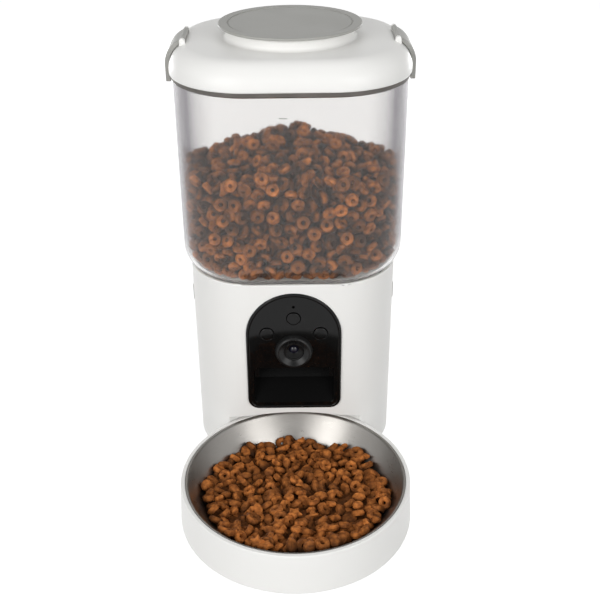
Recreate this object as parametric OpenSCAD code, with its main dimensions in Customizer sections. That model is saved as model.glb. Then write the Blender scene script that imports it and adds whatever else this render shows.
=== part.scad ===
// Pet feeder with a camera: body with drive and outlet, hopper with rotor, latched lid, bowl in a ring.
// Millimetres, +Z up, front towards -Y, origin on the floor under the middle of the footprint.

/* [Body] */
// Width of the body
body_w = 174; // [160:1:190]
// Depth of the body
body_d = 156; // [146:1:170]
// Corner radius of the body in plan
body_corner_r = 55; // [50:1:60]
// Height of the body's top rim
body_top_z = 177; // [175:0.5:186]
// Wall of the body shell
body_wall = 2.5; // [2:0.1:3.2]
// Radius on the body's bottom edge
body_edge_r = 3; // [1:0.5:5]
// Height of the shell's lower edge above the floor
body_lift = 1.2; // [0.8:0.1:2]
// Height of the rubber feet
foot_h = 3; // [2.6:0.1:4]
// Radius of a rubber foot
foot_r = 7; // [5:0.5:8]
// Thickness of the base plate
base_plate_t = 2.5; // [2:0.1:3.5]
// Thickness of the deck under the hopper
deck_t = 2.5; // [2:0.1:3]
// Radius of a screw boss
boss_r = 4; // [3.5:0.1:5]

/* [Hopper] */
// How far the hopper stands out past the body all round
hopper_step = 5.5; // [4:0.1:7]
// Height of the hopper's top rim
hopper_top_z = 335.6; // [300:0.1:370]
// Radius on the hopper's bottom edge
hopper_edge_r = 22; // [18:0.5:26]
// Wall of the hopper
hopper_wall = 2.5; // [2:0.1:3]
// How far the hopper's bottom nests below the body's rim
hopper_nest = 4.8; // [4.4:0.1:5.4]
// Thickness of a release tab under the hopper
tab_t = 2.5; // [2:0.1:3]
// Width of a release tab
tab_w = 14; // [10:0.5:16]
// Reach of the catch lug under a latch
lug_reach = 2.1; // [1.6:0.1:2.4]
// Height of the catch lug
lug_h = 3; // [2.5:0.5:6]

/* [Lid] */
// How far the lid stands out past the body all round
lid_step = 8; // [7.5:0.1:10]
// Height of the lid above the seal
lid_h = 21; // [20:0.5:26]
// Radius of the lid's shoulder
lid_shoulder_r = 18; // [14:0.5:19]
// Wall of the lid
lid_wall = 2.5; // [2:0.1:3]
// Height of the seal band
seal_h = 3.6; // [3:0.1:5]
// Width of the seal band
seal_w = 5.5; // [4:0.1:7]
// Thickness of the liner under the lid
liner_t = 2.5; // [2:0.1:3]
// Outer radius of the neck
neck_r = 51.2; // [46:0.2:54]
// Wall of the neck
neck_wall = 2.7; // [2.2:0.1:3.2]
// Height of the neck above the lid
neck_h = 9; // [7:0.5:12]
// Radius of the cap
cap_r = 57; // [55:0.5:62]
// Thickness of the cap's rim
cap_t = 2.2; // [2:0.1:4]
// Depth of the dish in the cap
cap_dish = 1.2; // [0.6:0.1:1.5]
// Width of the cap's raised rim
cap_rim_w = 8; // [6:0.5:10]
// Depth of the cap's plug in the neck
plug_h = 8; // [5:0.5:9]

/* [Latches] */
// Width of a latch
latch_w = 34; // [24:1:44]
// Thickness of a latch
latch_t = 3.6; // [3:0.1:4.5]
// Radius of the latch's hinge barrel
barrel_r = 2.2; // [2:0.1:2.6]
// Radius of the latch's hinge pin
pin_r = 1; // [0.8:0.1:1.2]
// Width of a hinge ear
ear_w = 3; // [2.4:0.1:4]
// Place of the hinge in from the lid's widest side
hinge_inset = 11; // [10:0.5:17]
// Height of the hook at the latch's lower end
hook_h = 2.5; // [2:0.5:4]

/* [Rotor] */
// Inner radius of the rotor cup
cup_r = 50.5; // [47:0.5:51]
// Wall of the rotor cup
cup_wall = 2.5; // [2:0.1:3]
// Depth of the rotor cup below the hopper's floor
cup_depth = 38; // [34:0.5:40]
// Width of the cup's flange
flange_w = 8; // [7:0.5:8]
// Number of rotor paddles
paddles = 6; // [5:1:8]
// Thickness of a paddle
paddle_t = 2.4; // [1.6:0.1:3.2]
// Gap between a paddle's tip and the cup
paddle_gap = 2; // [1:0.1:3]
// Radius of the rotor's hub
hub_r = 11; // [9.5:0.5:12]
// Radius of the rotor's shaft and of the drive shaft
shaft_r = 4; // [3.5:0.1:4.5]
// Radius of the hole that the food drops through
drop_r = 16; // [14:0.5:17]
// Distance of that hole from the rotor's axis
drop_reach = 31; // [30:0.5:33]

/* [Front panel] */
// Width of the panel
panel_w = 79.6; // [76:0.2:84]
// Height of the panel's lower edge
panel_z = 56; // [55:0.5:58]
// Height of the panel
panel_h = 113; // [108:0.5:115]
// Radius of the panel's lower corners
panel_corner_r = 9; // [5:0.5:12]
// How far the panel stands proud of the body
panel_proud = 0.8; // [0.4:0.1:1.5]
// Thickness of the panel's face
panel_t = 4.6; // [4:0.1:5.4]
// Width of the outlet opening
outlet_w = 69; // [64:0.5:71]
// Height of the outlet opening
outlet_h = 35.6; // [34:0.2:36]
// Height of the rim under the outlet
outlet_sill = 6; // [4:0.5:7]
// Depth of the outlet pocket
pocket_depth = 16; // [14:0.5:18]
// Height of the button in the middle
button_top_z = 146; // [144:0.5:149]
// Height of the two side buttons
button_side_z = 131.5; // [130:0.5:134]
// Distance of the side buttons from the middle
button_side_x = 22.5; // [22:0.1:26]
// Radius of a button
button_r = 5.6; // [4.5:0.1:6]
// How far a button stands proud of the panel
button_proud = 0.9; // [0.8:0.1:1.5]
// Height of the microphone hole
mic_z = 156.8; // [156:0.2:160]
// Radius of the microphone hole
mic_r = 1.1; // [0.8:0.1:1.5]

/* [Camera] */
// Height of the camera's axis
camera_z = 114; // [113.6:0.1:115]
// Outer radius of the camera bezel
bezel_r = 16; // [15:0.2:16.4]
// How far the bezel stands proud of the panel
bezel_proud = 3.4; // [2:0.1:5]
// Radius of the camera barrel
lens_barrel_r = 8.4; // [7:0.1:9]
// Radius of the lens
lens_r = 4.2; // [3:0.1:5]

/* [Drive] */
// Gear module
gear_m = 1; // [0.9:0.05:1.05]
// Teeth on the motor pinion
pinion_teeth = 10; // [9:1:11]
// Teeth on the idler's large wheel
idler_teeth = 40; // [36:1:41]
// Teeth on the idler's small wheel
idler_small_teeth = 12; // [11:1:14]
// Teeth on the output gear
output_teeth = 44; // [40:1:45]
// Face width of a gear
gear_face = 6; // [4:0.5:6.5]
// Height of the gearbox's underside
gearbox_z = 82; // [80:0.5:84]
// Height of the gearbox
gearbox_h = 24; // [23:0.5:25]
// Wall of the gearbox
gearbox_wall = 2; // [1.6:0.1:2.2]
// Radius of the motor
motor_r = 12.2; // [10:0.1:12.5]
// Length of the motor
motor_l = 30; // [24:0.5:34]

/* [Release buttons] */
// Width of a release button
release_w = 14; // [12:0.5:15]
// Height of a release button
release_h = 16; // [13:0.5:18]
// Height of the release buttons' middle
release_z = 133; // [131:0.5:136]
// How far a release button stands proud of the body
release_proud = 2.6; // [2.2:0.1:4]
// Travel of a release button
release_travel = 2; // [1.5:0.1:2.1]

/* [Bowl] */
// Distance from the body's axis to the bowl's middle
bowl_reach = 147.6; // [138:0.2:160]
// Outer radius of the holder ring at its rim
ring_rim_r = 94.1; // [90:0.1:98]
// Outer radius of the holder ring at its foot
ring_foot_r = 95.7; // [92:0.1:105]
// Height of the holder ring
ring_h = 37.5; // [30:0.1:40]
// Wall of the holder ring
ring_wall = 2.6; // [2:0.1:3.2]
// Thickness of the holder's floor
ring_floor_t = 2.2; // [1.8:0.1:3]
// Wall of the steel dish
dish_wall = 0.8; // [0.6:0.1:1.2]
// Height of the recess under the body's front
recess_h = 50.4; // [46:0.2:52]
// Gap between the holder's foot and the recess
recess_gap = 0.5; // [0.4:0.1:0.8]
// Width of the tongue that finds the holder's place in the body
tongue_w = 40; // [24:1:48]
// Thickness of the tongue
tongue_t = 3; // [2:0.2:4]

/* [Power] */
// Width of the battery bay
bay_w = 104; // [90:1:108]
// Length of the battery bay
bay_l = 64; // [60:0.5:66]
// Depth of the battery bay
bay_h = 35; // [30:0.5:38]
// Wall of the battery bay
bay_wall = 1.8; // [1.5:0.1:2.2]
// Thickness of the battery door
door_t = 1.4; // [1.2:0.1:1.6]
// Radius of the power socket
socket_r = 3.2; // [2.8:0.1:3.6]
// Height of the power socket
socket_z = 16; // [14:0.5:20]
// Distance of the power socket from the middle
socket_x = 24; // [20:0.5:26]
// Radius of the speaker
speaker_r = 17; // [12:0.5:17]
// Height of the speaker
speaker_z = 56; // [54:0.5:58]

/* [Clearances] */
// Gap between parts that slide or lift past each other
slide_gap = 0.4; // [0.35:0.05:0.5]
// Gap between parts that rest on each other
rest_gap = 0.3; // [0.3:0.05:0.5]
// Gap all round a part set into an opening
inset_gap = 0.25; // [0.2:0.05:0.4]
// Radial gap of a running fit
run_gap = 0.05; // [0.03:0.01:0.08]
// Radial gap of a screw in its hole
screw_gap = 0.03; // [0.02:0.01:0.05]
// Radius of a screw's shank
screw_r = 1.5; // [1.2:0.1:1.6]
// Radius of a screw's head
screw_head_r = 2.8; // [2.4:0.1:3]
// Height of a screw's head
screw_head_h = 1.6; // [1.2:0.1:1.8]

/* [Hidden] */
arc_steps = 96;
eps = 0.01;

// Frame
lid_w = body_w + 2 * lid_step;
lid_d = body_d + 2 * lid_step;
lid_corner_r = body_corner_r + lid_step;
ring_out_r = max(ring_foot_r, ring_rim_r);
body_y = (bowl_reach + ring_out_r - lid_d / 2) / 2;
front_y = -body_d / 2;
back_y = body_d / 2;
inner_w = body_w - 2 * body_wall;
inner_d = body_d - 2 * body_wall;
inner_corner_r = body_corner_r - body_wall;
mid_corner_r = body_corner_r - body_wall / 2;
corner_x = body_w / 2 - body_corner_r;
corner_y = body_d / 2 - body_corner_r;

// Hopper
hopper_w = body_w + 2 * hopper_step;
hopper_d = body_d + 2 * hopper_step;
hopper_corner_r = body_corner_r + hopper_step;
hopper_z = body_top_z - hopper_nest;
hopper_floor_z = hopper_z + hopper_wall;

// Lid
seal_z = hopper_top_z + rest_gap;
lid_z = seal_z + seal_h;
lid_top_z = lid_z + lid_h;
neck_top_z = lid_top_z + neck_h;
cap_z = neck_top_z + rest_gap;
neck_bore_r = neck_r - neck_wall;
liner_clear = 0.4;
mark_in = 11;
liner_cup_wall = 2;
liner_cup_r = neck_bore_r - slide_gap;
neck_flange_r = neck_r + 10.8;
liner_screw_x = body_w / 2 - 27;
liner_screw_y = body_d / 2 - 28;

// Latches
shoulder_x = lid_w / 2 - lid_shoulder_r;
shoulder_z = lid_top_z - lid_shoulder_r;
hinge_x = lid_w / 2 - hinge_inset;
hinge_drop = hinge_x - shoulder_x;
ear_top_z = shoulder_z + sqrt(lid_shoulder_r * lid_shoulder_r - hinge_drop * hinge_drop);
hinge_z = ear_top_z + barrel_r + slide_gap;
ear_z = ear_top_z - lid_wall;
latch_in_r = lid_shoulder_r + slide_gap;
latch_out_r = latch_in_r + latch_t;
lug_w = latch_w - 4;
lug_x = hopper_w / 2 + lug_reach;
lug_drop = 0.6;
lug_z = hopper_top_z - lug_drop - lug_h;
hook_x = lug_x + slide_gap;
latch_low_z = lug_z - rest_gap - hook_h;

// Rotor
cup_z = hopper_z - cup_depth;
cup_out_r = cup_r + cup_wall;
hopper_mouth_r = cup_out_r + inset_gap;
flange_r = cup_out_r + flange_w;
flange_screw_r = cup_out_r + flange_w / 2;
flange_screws = 6;
flange_t = 2.5;
cup_floor_z = cup_z + cup_wall;
bush_r = shaft_r + 3;
bush_flange_r = bush_r + 2;
bush_flange_t = 1.5;
bush_drop = 1.5;
rotor_z = cup_floor_z + bush_flange_t + rest_gap;
baffle_t = 2;
baffle_z = hopper_z - baffle_t - 1.5;
rotor_top_z = baffle_z - 2.5;
blade_w = 2 * shaft_r - 0.6;
blade_t = 2.6;
blade_h = 7;
coupling_r = shaft_r + 3;
coupling_top_z = cup_z - bush_drop - 1;
coupling_h = 11;
coupling_z = coupling_top_z - coupling_h;
slot_h = blade_h + 1;
blade_z = coupling_z - 0.5;

// Outlet: the pocket behind the panel's opening and the slide behind it rise at 45 degrees
outlet_z = panel_z + outlet_sill;
outlet_top_z = outlet_z + outlet_h;
panel_front_y = front_y - panel_proud;
panel_back_y = panel_front_y + panel_t;
panel_flange = 3;
panel_flange_t = 2;
pocket_wall = 2;
pocket_back_y = panel_front_y + pocket_depth;
ramp_z = outlet_z + pocket_depth;
chute_wall = 2;
chute_step = 1.2;
chute_w = outlet_w - 7;
chute_flange_t = 2;
chute_back_y = -drop_reach + drop_r + 2;
chute_front_y = -drop_reach - drop_r - 1.5;
chute_top_z = cup_z - rest_gap;
chute_low_z = ramp_z - chute_step;
chute_roof_z = outlet_top_z - 1;

// Bowl
recess_r = ring_out_r + recess_gap;
recess_lip_r = bowl_reach - body_d / 2;
tip_room = 3.5;
recess_wall_z = ring_h + tip_room;
skirt_top_z = recess_wall_z + 3;
tongue_z = 8;
tongue_end = recess_r + body_wall + 2;
ring_z = 0.6;
ring_foot_edge = 2;
ring_rim_edge = 0.8;
ring_floor_z = 2;
ring_slope = (ring_rim_r - ring_foot_r) / (ring_h - ring_rim_edge - ring_z - ring_foot_edge);
tongue_wall_r = ring_foot_r + ring_slope * (tongue_z - ring_z - ring_foot_edge);
tongue_root_r = min(tongue_wall_r, tongue_wall_r + ring_slope * tongue_t) - ring_wall / 2;
tongue_root_y = sqrt(tongue_root_r * tongue_root_r - tongue_w * tongue_w / 4);
pad_r = 6;
ledge_w = 2.4;
ledge_drop = 1.4;
rim_in_r = ring_rim_r - 2.1;
dish_rim_r = rim_in_r - rest_gap;
dish_seat_z = ring_h - ledge_drop + rest_gap;
dish_floor_z = ring_floor_z + ring_floor_t + 1;
dish_floor_r = 58;
dish_bend_r = 14;
dish_slope = 52;

// Base and chassis
plate_top_z = foot_h + base_plate_t;
boss_angle = 30;
boss_spread_r = inner_corner_r - 3;
boss_x = corner_x + boss_spread_r * cos(boss_angle);
boss_y = corner_y + boss_spread_r * sin(boss_angle);
boss_h = 26;
boss_screw_l = 14;
base_sink = 1.4;
deck_z = hopper_z - deck_t - 0.8;
deck_hole_r = cup_out_r + slide_gap + 1;
fit_gap = 0.5;
rail_t = 2;
rail_lip = 0.8;
rail_past = 6;
grip_w = 24;
foot_x = bay_w / 2 + 2 * rail_t + slide_gap + foot_r + 1;
foot_corner_r = inner_corner_r - foot_r - fit_gap;
foot_limit_y = corner_y + sqrt(pow(foot_corner_r, 2) - pow(foot_x - corner_x, 2));
foot_front_y = front_y + 46;
foot_back_y = min(back_y - 28, foot_limit_y);
bay_front_y = -bowl_reach + recess_r + body_wall + 4;
contact_w = 10;
contact_t = 0.6;
chassis_t = 2.5;
chassis_z = gearbox_z - chassis_t;
chassis_front_y = -18;
chassis_back_y = back_y - 12;
shelf_l = 30;
shelf_in = 5;
shelf_t = 5;
button_depth = 10;
switch_h = 2.5;
board_t = 1.6;
button_board_y = panel_front_y + button_depth + 4.2;
barrel_l = 18;
lens_sink = 5;
camera_board_y = panel_front_y + barrel_l + 3;
main_board_y = back_y - body_wall - 6;
main_board_w = 72;
main_board_h = 64;
chip_w = 24;
chip_h = 20;
chip_t = 2.4;
connector_w = 10;
connector_h = 6;
connector_t = 3;
board_clear = 0.25;
main_board_z = gearbox_z + 4;
standoff_r = 2.6;
socket_back_y = back_y - 18;

// Gears
idler_y = gear_m * (output_teeth + idler_small_teeth) / 2;
// The pinion and motor swing round the idler where the body is too shallow for them in line
motor_margin = 1;
pinion_reach = gear_m * (idler_teeth + pinion_teeth) / 2;
pinion_room_y = main_board_y - connector_t - board_clear - motor_margin - motor_r;
pinion_y = min(idler_y + pinion_reach, pinion_room_y);
pinion_x = sqrt(pinion_reach * pinion_reach - (pinion_y - idler_y) * (pinion_y - idler_y));
pinion_way = atan2(pinion_y - idler_y, pinion_x);
layer_a_z = gearbox_z + gearbox_wall + 1;
layer_b_z = layer_a_z + gear_face + 1.5;
gearbox_top_z = gearbox_z + gearbox_h;
wheel_reach = gear_m * (max(output_teeth, idler_teeth) / 2 + 1);
gearbox_half_w = max(wheel_reach, pinion_x + gear_m * (pinion_teeth / 2 + 1)) + gearbox_wall + 1;
gearbox_front_y = -gearbox_half_w;
gearbox_back_y = pinion_y + motor_r + motor_margin;
axle_r = 1.5;
motor_shaft_r = 1;
cover_t = 2;
lug_r = 5;
gearbox_lug_t = 3;

// Release buttons
release_flange = 2.5;
release_in_x = body_w / 2 - body_wall - rest_gap;
tab_clear = 1.5;
release_arm_t = 1.9;
release_arm_y = tab_w / 2 + slide_gap + 0.2;
release_bar_t = 3;
release_stop_t = 2.5;
release_stop_x = deck_hole_r + 2.5;
spring_solid_l = 2.6;
release_bar_x = release_stop_x + release_stop_t + spring_solid_l + release_travel;
catch_least = 1.2;
tab_in = 13;
tab_x = max(body_w / 2 - tab_in, release_bar_x + release_bar_t + catch_least + slide_gap);
release_arm_h = 8;
catch_h = 3;
tab_low_z = release_z - release_arm_h / 2 - 1;
// Height at which the hopper's inside, rounded at its bottom edge, meets the tab's inner face
tab_past = tab_x - hopper_w / 2 + hopper_edge_r;
tab_inside_r = hopper_edge_r - hopper_wall;
tab_top_z = hopper_floor_z + tab_inside_r - sqrt(tab_inside_r * tab_inside_r - pow(max(tab_past, 0), 2));

// Places everything that is drawn round the body's own axis
module at_body() { translate([0, body_y, 0]) children(); }

// Places everything that is drawn round the bowl's axis
module at_bowl() { translate([0, body_y - bowl_reach, 0]) children(); }

// Rounded rectangle with true arcs
module outline(w, d, r) {
    square([w - 2 * r, d], center = true);
    square([w, d - 2 * r], center = true);
    for (sx = [-1, 1], sy = [-1, 1])
        translate([sx * (w / 2 - r), sy * (d / 2 - r)]) circle(r = r, $fn = arc_steps);
}

// Plate with a rounded outline
module slab(w, d, r, z, t) { translate([0, 0, z]) linear_extrude(t) outline(w, d, r); }

// Edge profile from the corner axis out to r, with rounded upper and lower edges
module edge_profile(r, z0, z1, top, bottom) {
    translate([0, z0 + bottom]) square([r, z1 - z0 - top - bottom]);
    if (top > 0) {
        translate([0, z1 - top]) square([r - top, top]);
        intersection() {
            translate([r - top, z1 - top]) circle(r = top, $fn = arc_steps);
            translate([r - top, z1 - top]) square(top);
        }
    }
    if (bottom > 0) {
        translate([0, z0]) square([r - bottom, bottom]);
        intersection() {
            translate([r - bottom, z0 + bottom]) circle(r = bottom, $fn = arc_steps);
            translate([r - bottom, z0]) square(bottom);
        }
    }
}

// Carries an edge profile round a rounded rectangle
module swept(w, d, r) {
    corners = [[1, 1, 0], [-1, 1, 90], [-1, -1, 180], [1, -1, 270]];
    for (c = corners)
        translate([c[0] * (w / 2 - r), c[1] * (d / 2 - r), 0])
            rotate([0, 0, c[2]]) rotate_extrude(angle = 90, $fn = arc_steps) children();
    for (turn = [0, 180]) rotate([0, 0, turn]) {
        translate([w / 2 - r, 0, 0]) rotate([90, 0, 0]) linear_extrude(d - 2 * r, center = true) children();
        translate([0, d / 2 - r, 0]) rotate([90, 0, 90]) linear_extrude(w - 2 * r, center = true) children();
    }
}

// Plate that fills the middle of a swept shape
module middle(w, d, r, z, t) { translate([-w / 2 + r, -d / 2 + r, z]) cube([w - 2 * r, d - 2 * r, t]); }

module tube(r_out, r_in, z, h) {
    translate([0, 0, z]) difference() {
        cylinder(r = r_out, h = h, $fn = arc_steps);
        translate([0, 0, -1]) cylinder(r = r_in, h = h + 2, $fn = arc_steps);
    }
}

module disc(r, z, h) { translate([0, 0, z]) cylinder(r = r, h = h, $fn = arc_steps); }

// Cylinder that lies along Y, from y0 to y1, at height z
module rod_y(r, x, z, y0, y1) {
    translate([x, y1, z]) rotate([90, 0, 0]) cylinder(r = r, h = y1 - y0, $fn = arc_steps);
}

// Box given by its two corners
module box(a, b) { translate(a) cube([b[0] - a[0], b[1] - a[1], b[2] - a[2]]); }

// Mirrors its children to the left side when side is -1
module on_side(side) { if (side > 0) { children(); } else { mirror([1, 0, 0]) children(); } }

// Screw with its head's underside at the origin and its shank pointing down
module screw(shank) {
    cylinder(r = screw_head_r, h = screw_head_h, $fn = arc_steps);
    translate([0, 0, -shank]) cylinder(r = screw_r, h = shank + eps, $fn = arc_steps);
}

// Hole for a screw, open at both ends
module screw_hole(z0, z1) { disc(screw_r + screw_gap, z0, z1 - z0); }

module at_bosses() {
    for (sx = [-1, 1], sy = [-1, 1]) translate([sx * boss_x, sy * boss_y, 0]) children();
}

module at_liner_screws() {
    for (sx = [-1, 1], sy = [-1, 1]) translate([sx * liner_screw_x, sy * liner_screw_y, 0]) children();
}

module at_flange_screws() {
    for (i = [0 : flange_screws - 1]) rotate([0, 0, 30 + i * 360 / flange_screws])
        translate([flange_screw_r, 0, 0]) children();
}

// Spur gear: straight-sided teeth with free play, one tooth centred at the angle given
module gear(teeth, z, h, at) {
    pitch = 360 / teeth;
    r_tip = gear_m * (teeth / 2 + 0.7);
    r_root = gear_m * (teeth / 2 - 1.1);
    flank = [[r_root, -0.27], [r_tip, -0.11], [r_tip, 0.11], [r_root, 0.27]];
    points = [for (i = [0 : teeth - 1], f = flank)
        let (a = at + (i + f[1]) * pitch) [f[0] * cos(a), f[0] * sin(a)]];
    translate([0, 0, z]) linear_extrude(h) polygon(points);
}

// Body

module panel_outline(grow) {
    arch_r = panel_w / 2 + grow;
    low_r = panel_corner_r + grow;
    top = panel_z + panel_h - panel_w / 2;
    translate([0, top]) circle(r = arch_r, $fn = arc_steps);
    translate([-arch_r, panel_z - grow + low_r]) square([2 * arch_r, top - panel_z + grow - low_r]);
    translate([-arch_r + low_r, panel_z - grow]) square([2 * arch_r - 2 * low_r, low_r]);
    for (sx = [-1, 1])
        translate([sx * (arch_r - low_r), panel_z - grow + low_r]) circle(r = low_r, $fn = arc_steps);
}

// Extrudes a front-view outline from y0 back to y1
module from_front(y0, y1) {
    translate([0, y1, 0]) rotate([90, 0, 0]) linear_extrude(y1 - y0) children();
}

// Space that the bowl tucks into: upright walls, then a roof that rises to the lip at the body's front
module recess_cut(grow) {
    translate([0, -bowl_reach, 0]) {
        disc(recess_r + grow, -1, recess_wall_z + grow + 1);
        translate([0, 0, recess_wall_z + grow - eps])
            cylinder(recess_h - recess_wall_z, recess_r + grow, recess_lip_r + grow, $fn = arc_steps);
    }
}

// Tongue at the back of the bowl's holder, and the slot for it in the recess wall when grown
module tongue(grow) {
    half_w = tongue_w / 2 + grow;
    translate([0, -bowl_reach, tongue_z])
        box([-half_w, tongue_root_y, -grow], [half_w, tongue_end, tongue_t + grow]);
}

module speaker_holes() {
    rings = [[0, 1], [5, 6], [10, 12]];
    for (ring = rings, i = [0 : ring[1] - 1])
        let (a = 360 * i / ring[1])
            rod_y(1, ring[0] * cos(a), speaker_z + ring[0] * sin(a), back_y - body_wall - 1, back_y + 1);
}

// Outer wall of the body over its whole height, with its bosses and openings
module body_wall_all() difference() {
    union() {
        swept(body_w, body_d, body_corner_r) difference() {
            edge_profile(body_corner_r, body_lift, body_top_z, 1, body_edge_r);
            translate([0, body_lift - 1]) square([inner_corner_r, body_top_z - body_lift + 2]);
        }
        at_bosses() disc(boss_r, plate_top_z, boss_h);
        at_bosses() disc(boss_r, deck_z - boss_h, boss_h);
        for (side = [-1, 1]) on_side(side)
            translate([inner_w / 2, 0, chassis_z])
                box([-shelf_in, -shelf_l / 2, -shelf_t], [eps, shelf_l / 2, 0]);
        for (sx = [-1, 1], dz = [6, main_board_h - 8])
            rod_y(standoff_r, sx * (main_board_w / 2 - 8), main_board_z + dz, main_board_y + board_t,
                back_y - body_wall + eps);
    }
    recess_cut(0);
    from_front(front_y - 5, front_y + 10) panel_outline(inset_gap);
    at_bosses() screw_hole(plate_top_z - 1, plate_top_z + boss_h - 6);
    at_bosses() screw_hole(deck_z - boss_h + 6, deck_z + 1);
    for (side = [-1, 1]) on_side(side)
        box([inner_w / 2 - 1, -release_w / 2 - slide_gap, release_z - release_h / 2 - slide_gap],
            [body_w / 2 + 1, release_w / 2 + slide_gap, release_z + release_h / 2 + slide_gap]);
    rod_y(socket_r + 1.8, socket_x, socket_z, back_y - body_wall - 1, back_y + 1);
    speaker_holes();
}

// Part of the body's wall between two heights
module body_slice(z0, z1) intersection() {
    body_wall_all();
    box([-body_w, -body_d, z0], [body_w, body_d, z1]);
}

module body_shell() color("ghostwhite") at_body() body_slice(skirt_top_z, body_top_z + 1);

module body_skirt() color("ghostwhite") at_body() body_slice(0, skirt_top_z);

// Wall and roof round the space that the bowl tucks into
module bowl_recess() color("ghostwhite") at_body() difference() {
    intersection() {
        slab(inner_w - 2 * run_gap, inner_d - 2 * run_gap, inner_corner_r - run_gap, body_lift,
            recess_h + body_wall);
        recess_cut(body_wall);
    }
    recess_cut(0);
    tongue(slide_gap);
}

module top_deck() color("whitesmoke") at_body() difference() {
    union() {
        slab(inner_w - 2 * fit_gap, inner_d - 2 * fit_gap, inner_corner_r - fit_gap, deck_z, deck_t);
        for (side = [-1, 1]) on_side(side)
            box([release_stop_x, -release_arm_h / 2, release_z - release_arm_h / 2],
                [release_stop_x + release_stop_t, release_arm_h / 2, deck_z + eps]);
    }
    disc(deck_hole_r, deck_z - 1, deck_t + 2);
    from_front(front_y, panel_back_y + panel_flange_t + fit_gap) panel_outline(panel_flange + fit_gap);
    at_bosses() screw_hole(deck_z - 1, deck_z + deck_t + 1);
    for (side = [-1, 1]) on_side(side)
        box([tab_x - tab_clear, -tab_w / 2 - tab_clear, deck_z - 1],
            [tab_x + tab_t + tab_clear, tab_w / 2 + tab_clear, deck_z + deck_t + 1]);
}

module deck_screws() color("silver") at_body() at_bosses() translate([0, 0, deck_z + deck_t]) screw(boss_screw_l);

module at_bay() { translate([0, bay_front_y + bay_wall + bay_l / 2, 0]) children(); }

module base_plate() color("whitesmoke") at_body() difference() {
    union() {
        slab(inner_w - 2 * fit_gap, inner_d - 2 * fit_gap, inner_corner_r - fit_gap, foot_h, base_plate_t);
        at_bay() box([-bay_w / 2 - bay_wall, -bay_l / 2 - bay_wall, foot_h],
            [bay_w / 2 + bay_wall, bay_l / 2 + bay_wall, plate_top_z + bay_h + bay_wall]);
        // Rails that hold the battery door
        at_bay() for (side = [-1, 1]) on_side(side) {
            lip_z = foot_h - door_t - 2 * rest_gap;
            rail_x = bay_w / 2 + rail_t + slide_gap;
            box([rail_x, -bay_l / 2, lip_z - rail_lip], [rail_x + rail_t, bay_l / 2 + rail_past, foot_h + eps]);
            box([bay_w / 2, -bay_l / 2, lip_z - rail_lip], [rail_x + eps, bay_l / 2 + rail_past, lip_z]);
        }
    }
    at_bay() box([-bay_w / 2, -bay_l / 2, foot_h - 4], [bay_w / 2, bay_l / 2, plate_top_z + bay_h]);
    recess_cut(body_wall + fit_gap);
    at_bosses() screw_hole(foot_h - 1, plate_top_z + 1);
    at_bosses() disc(screw_head_r + rest_gap, foot_h - 1, base_sink + 1);
}

module base_screws() color("silver") at_body() at_bosses()
    translate([0, 0, foot_h + base_sink]) mirror([0, 0, 1]) screw(boss_screw_l);

module at_feet() {
    for (sx = [-1, 1], y = [foot_front_y, foot_back_y]) translate([sx * foot_x, y, 0]) children();
}

module rubber_feet() color("dimgray") at_body() at_feet() rotate_extrude($fn = arc_steps)
    edge_profile(foot_r, 0, foot_h, 0, 0.8);

module battery_door() color("whitesmoke") at_body() at_bay() difference() {
    low_z = foot_h - door_t - rest_gap;
    box([-bay_w / 2 - rail_t, -bay_l / 2 - 1, low_z], [bay_w / 2 + rail_t, bay_l / 2 + 1, foot_h - rest_gap]);
    for (i = [0 : 4]) translate([0, bay_l / 2 - grip_w / 2 + 2.2 * i, 0])
        box([-grip_w / 2, 0, low_z - 1], [grip_w / 2, 1, low_z + 0.5]);
}

module battery_contacts() color("gold") at_body() at_bay()
    for (i = [-1 : 1], end = [-1, 1])
        translate([i * bay_w / 3, end * (bay_l / 2 - contact_t / 2), plate_top_z + bay_h / 2])
            cube([contact_w, contact_t, 1.4 * contact_w], center = true);

// Front panel

module outlet_outline(grow) {
    r = 4;
    w = outlet_w + 2 * grow;
    translate([0, outlet_z + outlet_h / 2]) outline(w, outlet_h + 2 * grow, r + grow);
}

// Region above the pocket's ramp, seen from the side: y grows to the right, z upwards
module over_ramp(grow) {
    y0 = panel_front_y - 1;
    y1 = pocket_back_y + 1;
    z0 = outlet_z - 1 - grow * sqrt(2);
    z1 = outlet_top_z + 9;
    along_x(2 * outlet_w) polygon([[y0, z0], [y1, z0 + y1 - y0], [y1, z1], [y0, z1]]);
}

module at_buttons() {
    places = [[0, button_top_z], [-button_side_x, button_side_z], [button_side_x, button_side_z]];
    for (p = places) translate([p[0], 0, p[1]]) children();
}

module front_panel() color([0.06, 0.06, 0.07]) at_body() difference() {
    union() {
        from_front(panel_front_y, panel_back_y) panel_outline(0);
        from_front(panel_back_y - eps, panel_back_y + panel_flange_t) panel_outline(panel_flange);
        intersection() {
            from_front(panel_back_y, pocket_back_y) outlet_outline(pocket_wall);
            over_ramp(pocket_wall);
        }
    }
    intersection() {
        from_front(panel_front_y - 1, pocket_back_y + 1) outlet_outline(0);
        over_ramp(0);
    }
    at_buttons() rod_y(button_r + slide_gap, 0, 0, panel_front_y - 1, panel_back_y + 3);
    rod_y(lens_barrel_r + inset_gap, 0, camera_z, panel_front_y - 1, panel_back_y + 3);
    rod_y(mic_r, 0, mic_z, panel_front_y - 1, panel_back_y + 3);
}

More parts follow.
